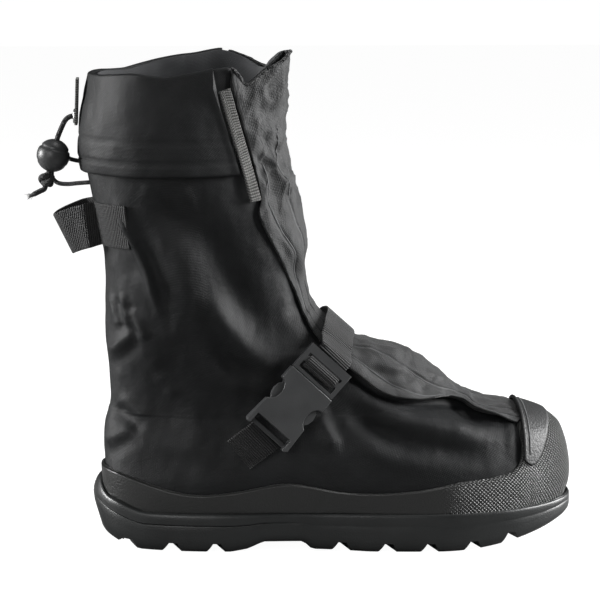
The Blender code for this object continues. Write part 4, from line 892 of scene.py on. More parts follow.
def split(tree, vector):
    node = tree.nodes.new("ShaderNodeSeparateXYZ")
    tree.links.new(vector, node.inputs[0])
    return node.outputs[0], node.outputs[1], node.outputs[2]


def pitched_group(name):
    """A group that takes a vector and a pitch and gives a height, with x and y counted in pitches."""
    group, given, made = shader_group(name, (("Vector", "v", None), ("Pitch", "f", 0.001)),
                                      (("Height", "f"),))
    x, y, _ = split(group, given.outputs["Vector"])
    a, b = [add_math(group, "DIVIDE", value, given.outputs["Pitch"]) for value in (x, y)]
    return group, made, a, b


def wave(tree, value):
    """A sine with half a turn to each pitch."""
    return add_math(tree, "SINE", add_math(tree, "MULTIPLY", value, math.pi))


@lru_cache
def weave_group():
    """Crossing threads, raised by turns where they cross."""
    group, made, a, b = pitched_group("thread_weave")
    warp, weft = wave(group, a), wave(group, b)
    threads = [add_math(group, "MULTIPLY", add_math(group, "ABSOLUTE", t), 0.5) for t in (warp, weft)]
    over = add_math(group, "MULTIPLY", add_math(group, "MULTIPLY", warp, weft), 0.35)
    height = add_math(group, "ADD", add_math(group, "ADD", *threads), over)
    group.links.new(height, made.inputs["Height"])
    return group


@lru_cache
def rib_group():
    """Ribs across a band with fine threads along it."""
    group, made, a, b = pitched_group("webbing_ribs")
    fine, ribs = (add_math(group, "ABSOLUTE", wave(group, t)) for t in (a, b))
    group.links.new(add_math(group, "ADD", ribs, add_math(group, "MULTIPLY", fine, 0.25)),
                    made.inputs["Height"])
    return group


@lru_cache
def knurl_group():
    """A diamond knurl: raised lozenges along two slanting directions."""
    group, made, a, b = pitched_group("diamond_knurl")
    slants = (add_math(group, "ADD", a, b), add_math(group, "SUBTRACT", a, b))
    ridges = [add_math(group, "POWER", add_math(group, "ABSOLUTE", wave(group, t)), 0.6) for t in slants]
    group.links.new(add_math(group, "MULTIPLY", *ridges), made.inputs["Height"])
    return group


@lru_cache
def grain_group():
    """Pebbled grain with a finer tooth, and a slow mottle."""
    group, given, made = shader_group("pebble_grain", (("Vector", "v", None), ("Size", "f", 0.002)),
                                      (("Height", "f"), ("Mottle", "f")))
    scale = add_math(group, "DIVIDE", 1.0, given.outputs["Size"])
    cells = group.nodes.new("ShaderNodeTexVoronoi")
    cells.feature = "SMOOTH_F1"
    cells.inputs["Smoothness"].default_value = 0.4
    tooth = group.nodes.new("ShaderNodeTexNoise")
    slow = group.nodes.new("ShaderNodeTexNoise")
    for node, times in ((cells, 1.0), (tooth, 2.5), (slow, 0.05)):
        group.links.new(given.outputs["Vector"], node.inputs["Vector"])
        group.links.new(add_math(group, "MULTIPLY", scale, times), node.inputs["Scale"])
    height = add_math(group, "SUBTRACT", add_math(group, "MULTIPLY", tooth.outputs[0], 0.35),
                      cells.outputs["Distance"])
    group.links.new(height, made.inputs["Height"])
    group.links.new(slow.outputs[0], made.inputs["Mottle"])
    return group


class Finish:
    """A material being put together round one Principled shader."""

    def __init__(self, name, roughness, **sockets):
        self.material = bpy.data.materials.new(name)
        self.material.use_nodes = True
        self.tree = self.material.node_tree
        self.shader = self.tree.nodes["Principled BSDF"]
        self.shader.inputs["Roughness"].default_value = roughness
        self.roughness = roughness
        for socket, value in sockets.items():
            self.shader.inputs[socket.replace("_", " ")].default_value = value
        self.coords = self.tree.nodes.new("ShaderNodeTexCoord")
        self.normal = None

    def place(self, group, kind="Object", **values):
        node = self.tree.nodes.new("ShaderNodeGroup")
        node.node_tree = group
        self.tree.links.new(self.coords.outputs[kind], node.inputs["Vector"])
        for name, value in values.items():
            node.inputs[name].default_value = value
        return node

    def noise(self, size, detail=3.0):
        node = self.tree.nodes.new("ShaderNodeTexNoise")
        node.inputs["Scale"].default_value = 1 / size
        node.inputs["Detail"].default_value = detail
        self.tree.links.new(self.coords.outputs["Object"], node.inputs["Vector"])
        return node.outputs[0]

    def bump(self, height, distance, strength=1.0):
        """Adds relief of a real depth on top of what is there."""
        node = self.tree.nodes.new("ShaderNodeBump")
        node.inputs["Distance"].default_value = distance
        node.inputs["Strength"].default_value = strength
        self.tree.links.new(height, node.inputs["Height"])
        if self.normal:
            self.tree.links.new(self.normal, node.inputs["Normal"])
        self.normal = node.outputs[0]
        self.tree.links.new(self.normal, self.shader.inputs["Normal"])

    def tint(self, mask, dark, light, low=0.3, high=0.7):
        """Colour between two tones by a mask."""
        ramp = self.tree.nodes.new("ShaderNodeValToRGB")
        ramp.color_ramp.elements[0].position = low
        ramp.color_ramp.elements[1].position = high
        ramp.color_ramp.elements[0].color = (*dark, 1)
        ramp.color_ramp.elements[1].color = (*light, 1)
        self.tree.links.new(mask, ramp.inputs[0])
        self.tree.links.new(ramp.outputs[0], self.shader.inputs["Base Color"])

    def gloss(self, mask, spread):
        """Roughness that wanders about its middle value by a mask."""
        wander = add_math(self.tree, "MULTIPLY", add_math(self.tree, "SUBTRACT", mask, 0.5), spread)
        value = add_math(self.tree, "ADD", wander, self.roughness)
        self.tree.links.new(value, self.shader.inputs["Roughness"])


def tone(colour, factor):
    return tuple(min(1.0, c * factor) for c in colour)


def texture(made, sizes, kind, size, detail=3.0):
    """A texture's output, and the length that its relief is counted in."""
    if kind in PITCHED:
        pitch = getattr(sizes, PITCHED[kind])
        group = {"weave": weave_group, "ribs": rib_group, "braid": knurl_group}[kind]()
        return made.place(group, "UV", Pitch=pitch * size).outputs["Height"], pitch
    if kind == "noise":
        return made.noise(size, detail), 1.0
    return made.place(grain_group(), Size=size).outputs[kind], 1.0


@lru_cache
def finish(name):
    """The shoe's materials by their names in the table."""
    sizes, colours = bpy.context.scene.overshoe_sizes, bpy.context.scene.overshoe_colours
    if name == "rand":
        return rand_finish(sizes.knurl_pitch, colours.rand)
    material, roughness, sockets, colour, dark, light, mask, span, gloss, reliefs = FINISHES[name]
    made, colour = Finish(material, roughness, **sockets), getattr(colours, colour)
    # For the webbing and the tab this tint follows the rib height, painting shade between the ribs and
    # highlight on their tops; for the others it is a random tone.
    shades = texture(made, sizes, *mask)[0]
    made.tint(shades, tone(colour, dark), tone(colour, light), *span)
    if gloss:
        made.gloss(shades, gloss)
    for kind, size, detail, distance, strength in reliefs:
        height, unit = texture(made, sizes, kind, size, detail)
        made.bump(height, unit * distance, strength)
    return made.material


def rand_finish(pitch, colour):
    """Knurled on the toe cap, where the knurl's tops are tinted pale, partly as worn rubber and partly as
    painted highlight, and pebbled behind it.
    """
    made = Finish("rand_rubber", 0.34, Specular_IOR_Level=0.5)
    knurl = made.place(knurl_group(), "UV", Pitch=pitch)
    grain = made.place(grain_group(), Size=0.0013)
    along = split(made.tree, made.coords.outputs["Object"])[0]
    cap = made.tree.nodes.new("ShaderNodeMapRange")
    made.tree.links.new(along, cap.inputs["Value"])
    cap.inputs["From Min"].default_value = x_of(0.70)
    cap.inputs["From Max"].default_value = x_of(0.90)
    # Painted highlight and wear: the knurl's tops on the toe cap are tinted up to 4.2 times lighter than the
    # rubber.
    tops = add_math(made.tree, "MULTIPLY", knurl.outputs["Height"], cap.outputs[0])
    made.tint(tops, tone(colour, 0.75), tone(colour, 4.2), 0.15, 0.95)
    made.gloss(grain.outputs["Mottle"], 0.16)
    made.bump(tops, 0.0016, 1.0)
    made.bump(grain.outputs["Height"], 0.00022, 0.6)
    return made.material


def floor_finish():
    made = Finish("pale_floor", 0.9, Specular_IOR_Level=0.0)
    made.shader.inputs["Base Color"].default_value = (0.22, 0.22, 0.22, 1)
    made.shader.inputs["Emission Color"].default_value = (1, 1, 1, 1)
    path = made.tree.nodes.new("ShaderNodeLightPath")
    glow = add_math(made.tree, "MULTIPLY", path.outputs["Is Camera Ray"], FLOOR_GLOW)
    made.tree.links.new(glow, made.shader.inputs["Emission Strength"])
    return made.material


def look_at(obj, target):
    obj.rotation_mode = "QUATERNION"
    obj.rotation_quaternion = (Vector(target) - obj.location).to_track_quat("-Z", "Y")


def make_camera(stage):
    turn, rise = stage.camera_turn, stage.camera_rise
    target = Vector((stage.aim_along, 0.0, stage.aim_height))
    back = Vector((math.sin(turn) * math.cos(rise), -math.cos(turn) * math.cos(rise), math.sin(rise)))
    camera = add_object("camera", bpy.data.cameras.new("camera"))
    camera.data.sensor_width = 36.0
    camera.data.lens = stage.lens
    camera.data.clip_end = 50.0
    camera.location = target + back * stage.camera_distance
    look_at(camera, target)
    bpy.context.scene.camera = camera


def make_light(name, place, size, power):
    lamp = bpy.data.lights.new(name, "AREA")
    lamp.size, lamp.energy = size, power
    obj = add_object(name, lamp)
    obj.location = place
    look_at(obj, LIGHT_AIM)


def make_world(light):
    """A white room: plain white behind the shoe, and softer as the light that falls on it."""
    world = bpy.data.worlds.new("studio")
    bpy.context.scene.world = world
    world.use_nodes = True
    tree = world.node_tree
    shade = tree.nodes["Background"]
    shade.inputs["Color"].default_value = (1, 1, 1, 1)
    path = tree.nodes.new("ShaderNodeLightPath")
    behind = add_math(tree, "MULTIPLY", path.outputs["Is Camera Ray"], FLOOR_GLOW)
    tree.links.new(add_math(tree, "ADD", behind, light), shade.inputs["Strength"])


def make_floor():
    bm = bmesh.new()
    bmesh.ops.create_grid(bm, x_segments=2, y_segments=2, size=FLOOR_SIZE)
    mesh = mesh_of(bm, "floor")
    mesh.materials.append(floor_finish())
    add_object("floor", mesh)


def cuff_out(level):
    """How far the cuff's face stands off the upper, more along its lower edge."""
    return CLEARANCE + CUFF_PUFF + CUFF_FLARE * smooth_step(TOP_LEVEL - level, 0.5, 2.5)


def cuff_face(z, angle):
    level = level_at(z)
    return form(level, angle, cuff_out(level))


def tab_frame():
    """The eyelet tab's middle, and the direction up along it."""
    z, half = TAB_PLACE * BOOT_HEIGHT, TAB_HEIGHT / 2
    foot = cuff_face(z - half, math.pi)
    up = np.array((math.sin(TAB_LEAN), 0.0, math.cos(TAB_LEAN)))
    return foot + up * half + np.array((-TAB_GAP, 0.0, 0.0)), up


def eyelet_face():
    """The middle of the eyelet's seat on the tab."""
    middle, up = tab_frame()
    return middle - up * TAB_HEIGHT * EYELET_PLACE + np.array((-up[2], 0.0, up[0])) * TAB_THICKNESS


def cord_axis():
    axis = np.array(LOCK_AXIS)
    return axis / np.linalg.norm(axis)


def draw_cord_points():
    """From the eyelet down through the lock's and the knot's bores to the loose end."""
    seat, axis = eyelet_face(), cord_axis()
    lock = seat + np.array(LOCK_PLACE)
    knot = lock - axis * KNOT_DROP
    points = [seat + np.array(o) for o in CORD_START]
    for reach in (0.62, 0.45, 0.20, 0.0, -0.25, -0.50):
        points.append(lock + axis * reach * LOCK_DIAMETER)
    points += [knot, knot - axis * KNOT_DIAMETER * 0.5]
    return points + [points[-1] + np.array(o) for o in CORD_TAIL]


def loop_cord_points():
    """From the cuff's lower edge round behind the ball lock and back to the shaft under the cuff."""
    above, below = (share * BOOT_HEIGHT for share in LOOP_CORD_SEATS)
    off = np.array((-CLEARANCE * 1.5, 0.0, 0.0))
    start = cuff_face(above, math.pi - math.radians(9)) + off
    stop = form(level_at(below), math.pi - math.radians(2), CLEARANCE) + off
    return [start] + [eyelet_face() + np.array(o) for o in LOOP_CORD] + [stop]


def turned_mesh(name, profile, centre, axis, steps=40):
    """A turned shape: a profile of radius and height spun about an axis through a centre."""
    bm = bmesh.new()
    verts = [bm.verts.new((r, 0, h)) for r, h in profile]
    edges = [bm.edges.new(pair) for pair in zip(verts, verts[1:])]
    if profile[0] != profile[-1] and profile[0][0] > 1e-6:
        edges.append(bm.edges.new((verts[-1], verts[0])))
    bmesh.ops.spin(bm, geom=verts + edges, cent=(0, 0, 0), axis=(0, 0, 1), angle=2 * math.pi,
                   steps=steps, use_merge=True, use_duplicate=False)
    bmesh.ops.remove_doubles(bm, verts=bm.verts[:], dist=1e-6)
    bmesh.ops.recalc_face_normals(bm, faces=bm.faces[:])
    turn = Vector((0, 0, 1)).rotation_difference(Vector(axis)).to_matrix().to_4x4()
    bmesh.ops.transform(bm, matrix=Matrix.Translation(Vector(centre)) @ turn, verts=bm.verts[:])
    mesh = mesh_of(bm, name)
    return mesh


def make_cords():
    """The drawcord with its ball lock and knot, and the loop of cord behind the lock."""
    cord = finish("cord")
    seat, axis = eyelet_face(), cord_axis()
    lock_centre = seat + np.array(LOCK_PLACE)
    knot_centre = lock_centre - axis * KNOT_DROP
    path = smooth_curve(draw_cord_points(), CORD_DIAMETER * 0.3)
    drawn = make_piece("drawcord", tube_mesh("drawcord", path, CORD_DIAMETER, taper=4), cord,
                       ("draw_cord",))
    lock = make_piece("ball_lock", lock_mesh(lock_centre, axis), finish("plastic"),
                      ("cord_lock",), sharp=50)
    knot = make_piece("tied_knot", knot_mesh(knot_centre, axis), cord, ("cord_knot",))
    fray = make_piece("frayed_end", fray_mesh(path[-1], path[-1] - path[-3]), cord)
    loop = smooth_curve(loop_cord_points(), LOOP_CORD_DIAMETER * 0.3)
    looped = make_piece("cord_loop", tube_mesh("cord_loop", loop, LOOP_CORD_DIAMETER), cord,
                        ("loop_cord",))


def lock_mesh(centre, axis):
    """A ball lock with a press cap, a parting groove and a bore."""
    radius, bore = LOCK_DIAMETER / 2, CORD_DIAMETER / 2 + CORD_ROOM
    start = math.asin(bore / radius)
    profile = []
    for k in range(37):
        turn = start + (math.pi - 2 * start) * k / 36
        groove = 0.0008 * math.exp(-(((math.degrees(turn) - 62) / 4) ** 2))
        waist = 0.0003 * math.exp(-(((math.degrees(turn) - 118) / 4) ** 2))
        r = radius - groove - waist
        profile.append((r * math.sin(turn), r * math.cos(turn)))
    return turned_mesh("ball_lock", profile, centre, axis, 48)


def knot_mesh(centre, axis):
    """A tight knot: a cord wound three times through itself."""
    turn = np.linspace(0, 2 * math.pi, KNOT_STEPS + 1)
    reach = KNOT_DIAMETER / 2 - CORD_DIAMETER * 0.5
    spread = reach * 0.62 + reach * 0.34 * np.cos(3 * turn)
    path = np.stack((spread * np.cos(2 * turn), spread * np.sin(2 * turn), reach * 0.62 * np.sin(3 * turn)),
                    axis=1)
    across = np.cross(axis, (0.0, 1.0, 0.0))
    across /= np.linalg.norm(across)
    basis = np.stack((across, np.cross(axis, across), axis))
    spots = centre + path @ basis

    def place(u, v):
        r = nearest(v, KNOT_STEPS) % KNOT_STEPS
        forward = spots[(r + 1) % KNOT_STEPS] - spots[r - 1]
        forward /= np.linalg.norm(forward, axis=1, keepdims=True)
        side = np.cross(forward, spots[r] - centre)
        side /= np.linalg.norm(side, axis=1, keepdims=True)
        up = np.cross(forward, side)
        angle = 2 * math.pi * u
        ring = side * np.cos(angle)[:, None] + up * np.sin(angle)[:, None]
        return spots[r] + ring * CORD_DIAMETER * 0.5

    return grid_mesh("tied_knot", 14, KNOT_STEPS, place)


def fray_mesh(end, forward):
    """Loose threads at the cord's cut end."""
    random.seed(SEED)
    forward = Vector(forward).normalized()
    bm = bmesh.new()
    for _ in range(16):
        lean = Vector([random.uniform(-0.6, 0.6) for _ in range(3)])
        way = (forward + lean).normalized()
        length = random.uniform(0.0022, 0.0048)
        root = Vector(end) - forward * 0.0008 + lean * CORD_DIAMETER * 0.35
        turn = Vector((0, 0, 1)).rotation_difference(way).to_matrix().to_4x4()
        bmesh.ops.create_cone(bm, cap_ends=True, segments=5, radius1=0.00022, radius2=0.00006, depth=length,
                              matrix=Matrix.Translation(root + way * length / 2) @ turn)
    mesh = mesh_of(bm, "frayed_end")
    return mesh


def plan_outward(angle, out, level=1.0):
    """The sole's outline: the form's plan moved out level with the floor."""
    step = 0.02
    here = form_points(level, angle)
    run = form_points(level, angle + step) - form_points(level, angle - step)
    normal = np.stack((run[..., 1], -run[..., 0], np.zeros(run.shape[:-1])), axis=-1)
    normal /= np.linalg.norm(normal, axis=-1, keepdims=True)
    return here + normal * np.asarray(out)[..., None]


def sole_edge(x):
    """How far the sole's side stands out from the foot, less at the heel's back."""
    return HEEL_EDGE + (SOLE_EDGE - HEEL_EDGE) * smooth_step(x, x_of(0.0), x_of(0.10))


def sole_rows():
    """The sole's section as rows. Columns: kind, then its own numbers: a share of the way from the
    spine to the edge, or a share of the side's height, an inset and the band's share."""
    lip = LAYER_GAP + RAND_RUBBER + CLEARANCE
    band = 1 - BAND_HEIGHT / RIM_HEIGHT
    rows = [("tread", k / SPINE_ROWS, 0, 0) for k in range(SPINE_ROWS)]
    for height, inset, share in ((0.00, 0.0044, 0), (0.012, 0.0034, 0), (0.03, 0.0024, 0), (0.10, 0.0010, 0),
                                 (0.18, 0.0003, 0), (0.30, 0.0, 0), (0.42, 0.0, 0), (0.52, 0.0, 0),
                                 (band - 0.06, 0.0, 0), (band - 0.035, 0.0002, 0), (band - 0.01, 0.0001, 0.6),
                                 (band + 0.015, 0.0, 1), (0.82, 0.0, 1), (0.90, 0.0, 1), (0.955, 0.0003, 1),
                                 (0.985, 0.0007, 1), (1.00, 0.0013, 1)):
        rows.append(("side", height, inset, share))
    rows += [("cup", lip + 0.0003, 1, 0), ("cup", lip, 0, -RIM_RECESS), ("cup", CLEARANCE, 0, -RIM_RECESS)]
    rows += [("cup", CLEARANCE, -1, 0)]
    rows += [("floor", k / 3, 0, 0) for k in (2, 1, 0)]
    return rows


def sole_place(u, v):
    rows = sole_rows()
    angles = ring_angles(SOLE_COLUMNS)[nearest(u, SOLE_COLUMNS)]
    index = nearest(v, len(rows) - 1)
    spots = np.zeros((len(u), 3))
    plain = plan_outward(angles, 0.0)
    x, y = plain[:, 0], plain[:, 1]
    bell = ledge_bell(x, y)
    fade = 1 - smooth_step(x, x_of(0.28), x_of(0.44))
    for k, (kind, a, b, c) in enumerate(rows):
        here = index == k
        if kind in ("tread", "side"):
            height, inset, band = (0.0, 0.0044, 0) if kind == "tread" else (a, b, c)
            low, top = tread_height(x[here]), rim_height(x[here]) + bell[here] * KICK_LEDGE_RISE
            swell = min(max((height - 0.15) / 0.85, 0.0), 1.0) ** 1.3
            out = sole_edge(x[here]) - inset + band * BAND_STEP * fade[here] * (1 - bell[here])
            out = out + KICK_LEDGE_REACH * bell[here] * math.sin(math.pi * swell)
            p = plan_outward(angles[here], out)
            p[:, 2] = low + (top - low) * height
            if kind == "tread":
                p = spine_mix(p, x[here], a, tread_height)
        elif kind == "cup":
            p = plan_outward(angles[here], a)
            top = rim_height(p[:, 0]) + (ledge_bell(p[:, 0], p[:, 1]) * KICK_LEDGE_RISE if b == 1 else 0)
            p[:, 2] = cup_floor(p[:, 0]) if b == -1 else top + c
        else:
            p = spine_mix(plan_outward(angles[here], CLEARANCE), x[here], a, cup_floor)
        spots[here] = p
    return spots


def spine_mix(edge, x, share, height):
    """Points between the middle line of the foot and its edge, at the height of their own x."""
    mixed = edge.copy()
    mixed[:, 0] = x + (edge[:, 0] - x) * share
    mixed[:, 1] = edge[:, 1] * share
    mixed[:, 2] = height(mixed[:, 0])
    return mixed


def prism(bm, outline, low, high, axis="Y"):
    """Adds a closed prism of a side outline from one y to another, or of a plan."""
    place = (lambda a, b, t: (a, t, b)) if axis == "Y" else (lambda a, b, t: (a, b, t))
    near = bm.faces.new([bm.verts.new(place(a, b, low)) for a, b in outline])
    made = bmesh.ops.extrude_face_region(bm, geom=[near])["geom"]
    shift = Vector(place(0, 0, high)) - Vector(place(0, 0, low))
    verts = [g for g in made if isinstance(g, bmesh.types.BMVert)]
    bmesh.ops.translate(bm, vec=shift, verts=verts)
    return list(near.verts) + verts


def groove_cutters():
    """The tread's grooves as three sets of cutters that don't meet within a set."""
    edge, rail, centre = bmesh.new(), bmesh.new(), bmesh.new()
    inner = RAIL_SHARE * BALL_WIDTH / 2
    for side in (-1, 1):
        for share in EDGE_GROOVES:
            x = x_of(share)
            root = float(tread_height(x)) + LUG_HEIGHT
            flare = (GROOVE_MOUTH - GROOVE_ROOT) / 2 * (root + LUG_HEIGHT) / LUG_HEIGHT
            half, under = GROOVE_ROOT / 2, -LUG_HEIGHT
            outline = ((-half, root), (half, root), (half + flare, under), (-half - flare, under))
            verts = prism(edge, outline, inner, BALL_WIDTH)
            turn = Matrix.Rotation(-GROOVE_SLANT, 4, "Z")
            shift = Matrix.Translation((x - math.tan(GROOVE_SLANT) * BALL_WIDTH / 2, 0, 0))
            bmesh.ops.transform(edge, matrix=Matrix.Scale(side, 4, (0, 1, 0)) @ shift @ turn, verts=verts)
        for run in RAIL_RUNS:
            xs = np.linspace(x_of(run[0]), x_of(run[1]), 24)
            outline = [(x, float(tread_height(x)) + LUG_HEIGHT * 0.85) for x in xs]
            outline += [(xs[-1] + LUG_HEIGHT, -LUG_HEIGHT), (xs[0] - LUG_HEIGHT, -LUG_HEIGHT)]
            low, high = sorted((side * (inner - RAIL_GROOVE), side * (inner + CLEARANCE)))
            prism(rail, outline, low, high)
    for share in CENTRE_GROOVES:
        x, half = x_of(share), inner - RAIL_GROOVE * 0.5
        root = float(tread_height(x)) + LUG_HEIGHT
        outline = ((x - GROOVE_ROOT / 2, root), (x + GROOVE_ROOT / 2, root),
                   (x + GROOVE_ROOT, -LUG_HEIGHT), (x - GROOVE_ROOT, -LUG_HEIGHT))
        prism(centre, outline, -half, half)
    return edge, rail, centre


def cut(obj, bm):
    """Cuts a closed bmesh out of an object."""
    bmesh.ops.recalc_face_normals(bm, faces=bm.faces[:])
    mesh = mesh_of(bm, "cutter")
    tool = add_object("cutter", mesh)
    modifier = obj.modifiers.new("cut", "BOOLEAN")
    modifier.operation, modifier.solver, modifier.object = "DIFFERENCE", "EXACT", tool
    result = bpy.data.meshes.new_from_object(obj.evaluated_get(bpy.context.evaluated_depsgraph_get()))
    obj.modifiers.clear()
    old, obj.data = obj.data, result
    bpy.data.meshes.remove(old)
    bpy.data.objects.remove(tool)
    bpy.data.meshes.remove(mesh)


def make_outsole():
    """The cup sole, with its side band, kick ledge and lugs."""
    mesh = grid_mesh("cup_sole", SOLE_COLUMNS, len(sole_rows()) - 1, sole_place)
    sole = make_piece("cup_sole", mesh, finish("sole"), ("outsole",), sharp=38)
    for bm in groove_cutters():
        cut(sole, bm)
    weld_mesh(sole.data, 1e-5)
    shade(sole.data, 38)


def make_insole():
    inset = -FABRIC - 2 * CLEARANCE
    rows = [(0.0, 0.0), (0.5, 0.0), (1.0, 0.0), (1.0, 0.3), (1.0, 0.8), (0.985, 1.0)]
    rows += [(0.97 * (1 - k / 12), 1.0) for k in range(13)]

    def place(u, v):
        angles = ring_angles(160)[nearest(u, 160)]
        index = nearest(v, len(rows) - 1)
        edge = form(0.0, angles, inset)
        share = np.array([r[0] for r in rows])[index]
        top = np.array([r[1] for r in rows])[index] * INSOLE_THICKNESS
        x = form_points(0.0, angles)[:, 0]
        spots = edge.copy()
        spots[:, 0] = x + (edge[:, 0] - x) * share
        spots[:, 1] = edge[:, 1] * share
        spots[:, 2] = cup_floor(spots[:, 0]) + CLEARANCE + top
        return spots

    make_piece("insole_liner", grid_mesh("insole_liner", 160, len(rows) - 1, place), finish("foam"),
               ("insole",))


def cover_share(spots):
    """How far overlays cover the upper, from 0 in the open to 1 under a rand, panel or cuff."""
    x, z = spots[:, 0], spots[:, 2]
    under_rand = 1 - smooth_step(z - rand_top(x), 0.0005, 0.009)
    under_rand = np.where(x > x_of(CAP_BACK) - 0.008, 1.0, under_rand)
    under_cuff = smooth_step(z, (CUFF_BOTTOM - 0.016) * BOOT_HEIGHT, (CUFF_BOTTOM + 0.004) * BOOT_HEIGHT)
    under_panel = smooth_step(in_panel(x, z), -0.0010, 0.0025)
    return np.maximum(np.maximum(under_rand, under_cuff), under_panel)


def strap_cover(spots):
    """1 close under the strap and its buckle, where the cloth is held down."""
    reach = spots - belt_top()
    s, w = reach @ BELT_DOWN, reach @ BELT_WIDE
    half = np.where(s < 0.086, BUCKLE_WIDTH, WEBBING_WIDTH) / 2
    across = 1 - smooth_step(np.abs(w - belt_shift(s)), half, half + 0.008)
    return across * (1 - smooth_step(s, STRAP_REACH, STRAP_REACH + 0.01))


def upper_relief(spots, depth):
    """The upper's folds at points of its outer face."""
    bend = spots[:, 2] - HEEL_BEND * INSTEP_HEIGHT
    fill = BEND_SLOPE * (np.hypot(bend, BEND_SOFTNESS) - np.abs(bend))
    fill *= 1 - smooth_step(spots[:, 0], *BEND_FADE)
    held = strap_cover(spots)
    total = (fold_height(spots, FOLDS) + waves(spots, UPPER_WAVES)) * depth + fill
    total = total * (1 - held) + np.minimum(total, 0.0008) * held
    return total * (1 - cover_share(spots))


def make_upper(sizes):
    """The hollow upper, folded outside and lined inside."""
    foot = np.linspace(0, INSTEP_LEVEL, FOOT_ROWS)
    shaft = np.linspace(INSTEP_LEVEL, TOP_LEVEL, SHAFT_ROWS)[1:]
    outer = np.concatenate((foot, shaft))
    inner = np.linspace(TOP_LEVEL, 0, LINING_ROWS)
    rim = ((TOP_LEVEL, -FABRIC * 0.2), (TOP_LEVEL, -FABRIC * 0.8))
    levels = np.concatenate((outer, [r[0] for r in rim], inner, [0.0]))
    outs = np.concatenate((np.zeros(len(outer)), [r[1] for r in rim], np.full(len(inner), -FABRIC), [0.0]))
    rise = np.zeros(len(levels))
    rise[len(outer):len(outer) + len(rim)] = 0.0004
    angles = ring_angles()

    def place(u, v):
        r = nearest(v, len(levels) - 1)
        a = angles[nearest(u, COLUMNS)]
        base, normals = surface(levels[r], a)
        relief = upper_relief(base, sizes.fold_depth)
        spots = base + normals * (outs[r] + relief)[:, None]
        spots[:, 2] += rise[r]
        return spots

    mesh = grid_mesh("folded_upper", COLUMNS, len(levels) - 1, place, second_from=len(outer) + 1)
    make_piece("folded_upper", mesh, [finish("nylon"), finish("lining")], ("upper",),
               sharp=180)


@lru_cache
def rand_tops():
    """For each column, the level at which the form leaves the rand."""
    angles = ring_angles(RAND_COLUMNS)
    levels = np.linspace(0.4, 11.0, 640)
    spots = form_points(levels[:, None], angles[None, :])
    line = rand_line()
    x, z = spots[..., 0], spots[..., 2]
    top = np.interp(x, line[: np.argmax(line[:, 0])][:, 0], line[: np.argmax(line[:, 0])][:, 1])
    cap = np.interp(z, line[np.argmax(line[:, 0]):][:, 1], line[np.argmax(line[:, 0]):][:, 0])
    inside = np.where(x > cap, 1, np.where(z < top, 1, 0))
    inside = np.where(x > line[:, 0].max(), 1, inside)
    last = np.argmin(inside, axis=0)
    return levels[np.where(last == 0, len(levels) - 1, last)]


def rand_relief(spots):
    """Soft dents in the rubber and a lap seam on each side."""
    lap = np.exp(-(((spots[:, 0] - 0.0895 + (spots[:, 2] - 0.036) * -0.3) / 0.0016) ** 2))
    dents = rumple(spots, 0.03, 5.0) * 0.00035
    return dents + lap * 0.0005 * (spots[:, 2] < 0.052)


def make_rand():
    """The rubber rand and toe cap, thin along their top edge."""
    angles, tops = ring_angles(RAND_COLUMNS), rand_tops()
    up = np.concatenate((np.linspace(0, 0.97, 46), [0.985, 0.995, 1.0]))
    down = np.linspace(1.0, 0.0, 14)
    shares = np.concatenate((up, down, [0.0]))
    lip = 1 - smooth_step(up, 0.93, 1.0) * 0.72
    outs = np.concatenate((LAYER_GAP + RAND_RUBBER * lip, np.full(len(down), LAYER_GAP * 0.5),
                           [LAYER_GAP + RAND_RUBBER]))

    def place(u, v):
        r = nearest(v, len(shares) - 1)
        c = nearest(u, RAND_COLUMNS)
        foot = rand_feet()[c]
        level = foot + (tops[c] - foot) * shares[r]
        base, normals = surface(level, angles[c])
        relief = np.where(outs[r] > LAYER_GAP, rand_relief(base), 0.0)
        return base + normals * (outs[r] + relief)[:, None]

    make_piece("textured_rand", grid_mesh("textured_rand", RAND_COLUMNS, len(shares) - 1, place),
               finish("rand"), ("rand",), sharp=50)


@lru_cache
def rand_feet():
    """For each column, the level at which the rand stands on the sole's rim."""
    levels = np.linspace(0.2, 4.0, 381)
    spots = form_points(levels[:, None], ring_angles(RAND_COLUMNS)[None, :])
    above = spots[..., 2] > rim_height(spots[..., 0]) - RIM_RECESS + CLEARANCE
    return levels[np.argmax(above, axis=0)]


def panel_columns(count):
    """Stations along the panel's edge: its level, its angle and the polar angle of the fan plane."""
    line = resample(panel_line(), count=count + 1)
    x, z = line[:, 0], np.minimum(line[:, 1], BOOT_HEIGHT * 1.004)
    level, angle = side_place(x, z, 1)
    at_edge = form_points(level, angle)
    fan = np.arctan2(at_edge[:, 2] - FAN_PIVOT[1], at_edge[:, 0] - FAN_PIVOT[0])
    return level, angle, np.maximum.accumulate(fan)


def fan_levels(angle, fan):
    """Levels at which columns of the form reach a fan plane about the pivot."""
    low, high = np.full(angle.shape, 5.0), np.full(angle.shape, float(TOP_LEVEL))
    for _ in range(26):
        middle = (low + high) / 2
        spots = form_points(middle, angle)
        above = np.arctan2(spots[..., 2] - FAN_PIVOT[1], spots[..., 0] - FAN_PIVOT[0]) > fan
        high, low = np.where(above, middle, high), np.where(above, low, middle)
    return (low + high) / 2


@lru_cache
def panel_net():
    """Levels and angles of the panel's points, rows along its edge and columns across the foot."""
    level, angle, fan = panel_columns(PANEL_ROWS)
    across = np.linspace(-1, 1, PANEL_COLUMNS + 1)
    angles = across[:, None] * angle[None, :]
    levels = fan_levels(angles, np.broadcast_to(fan, angles.shape))
    levels[:, -1] = TOP_LEVEL
    return levels, angles


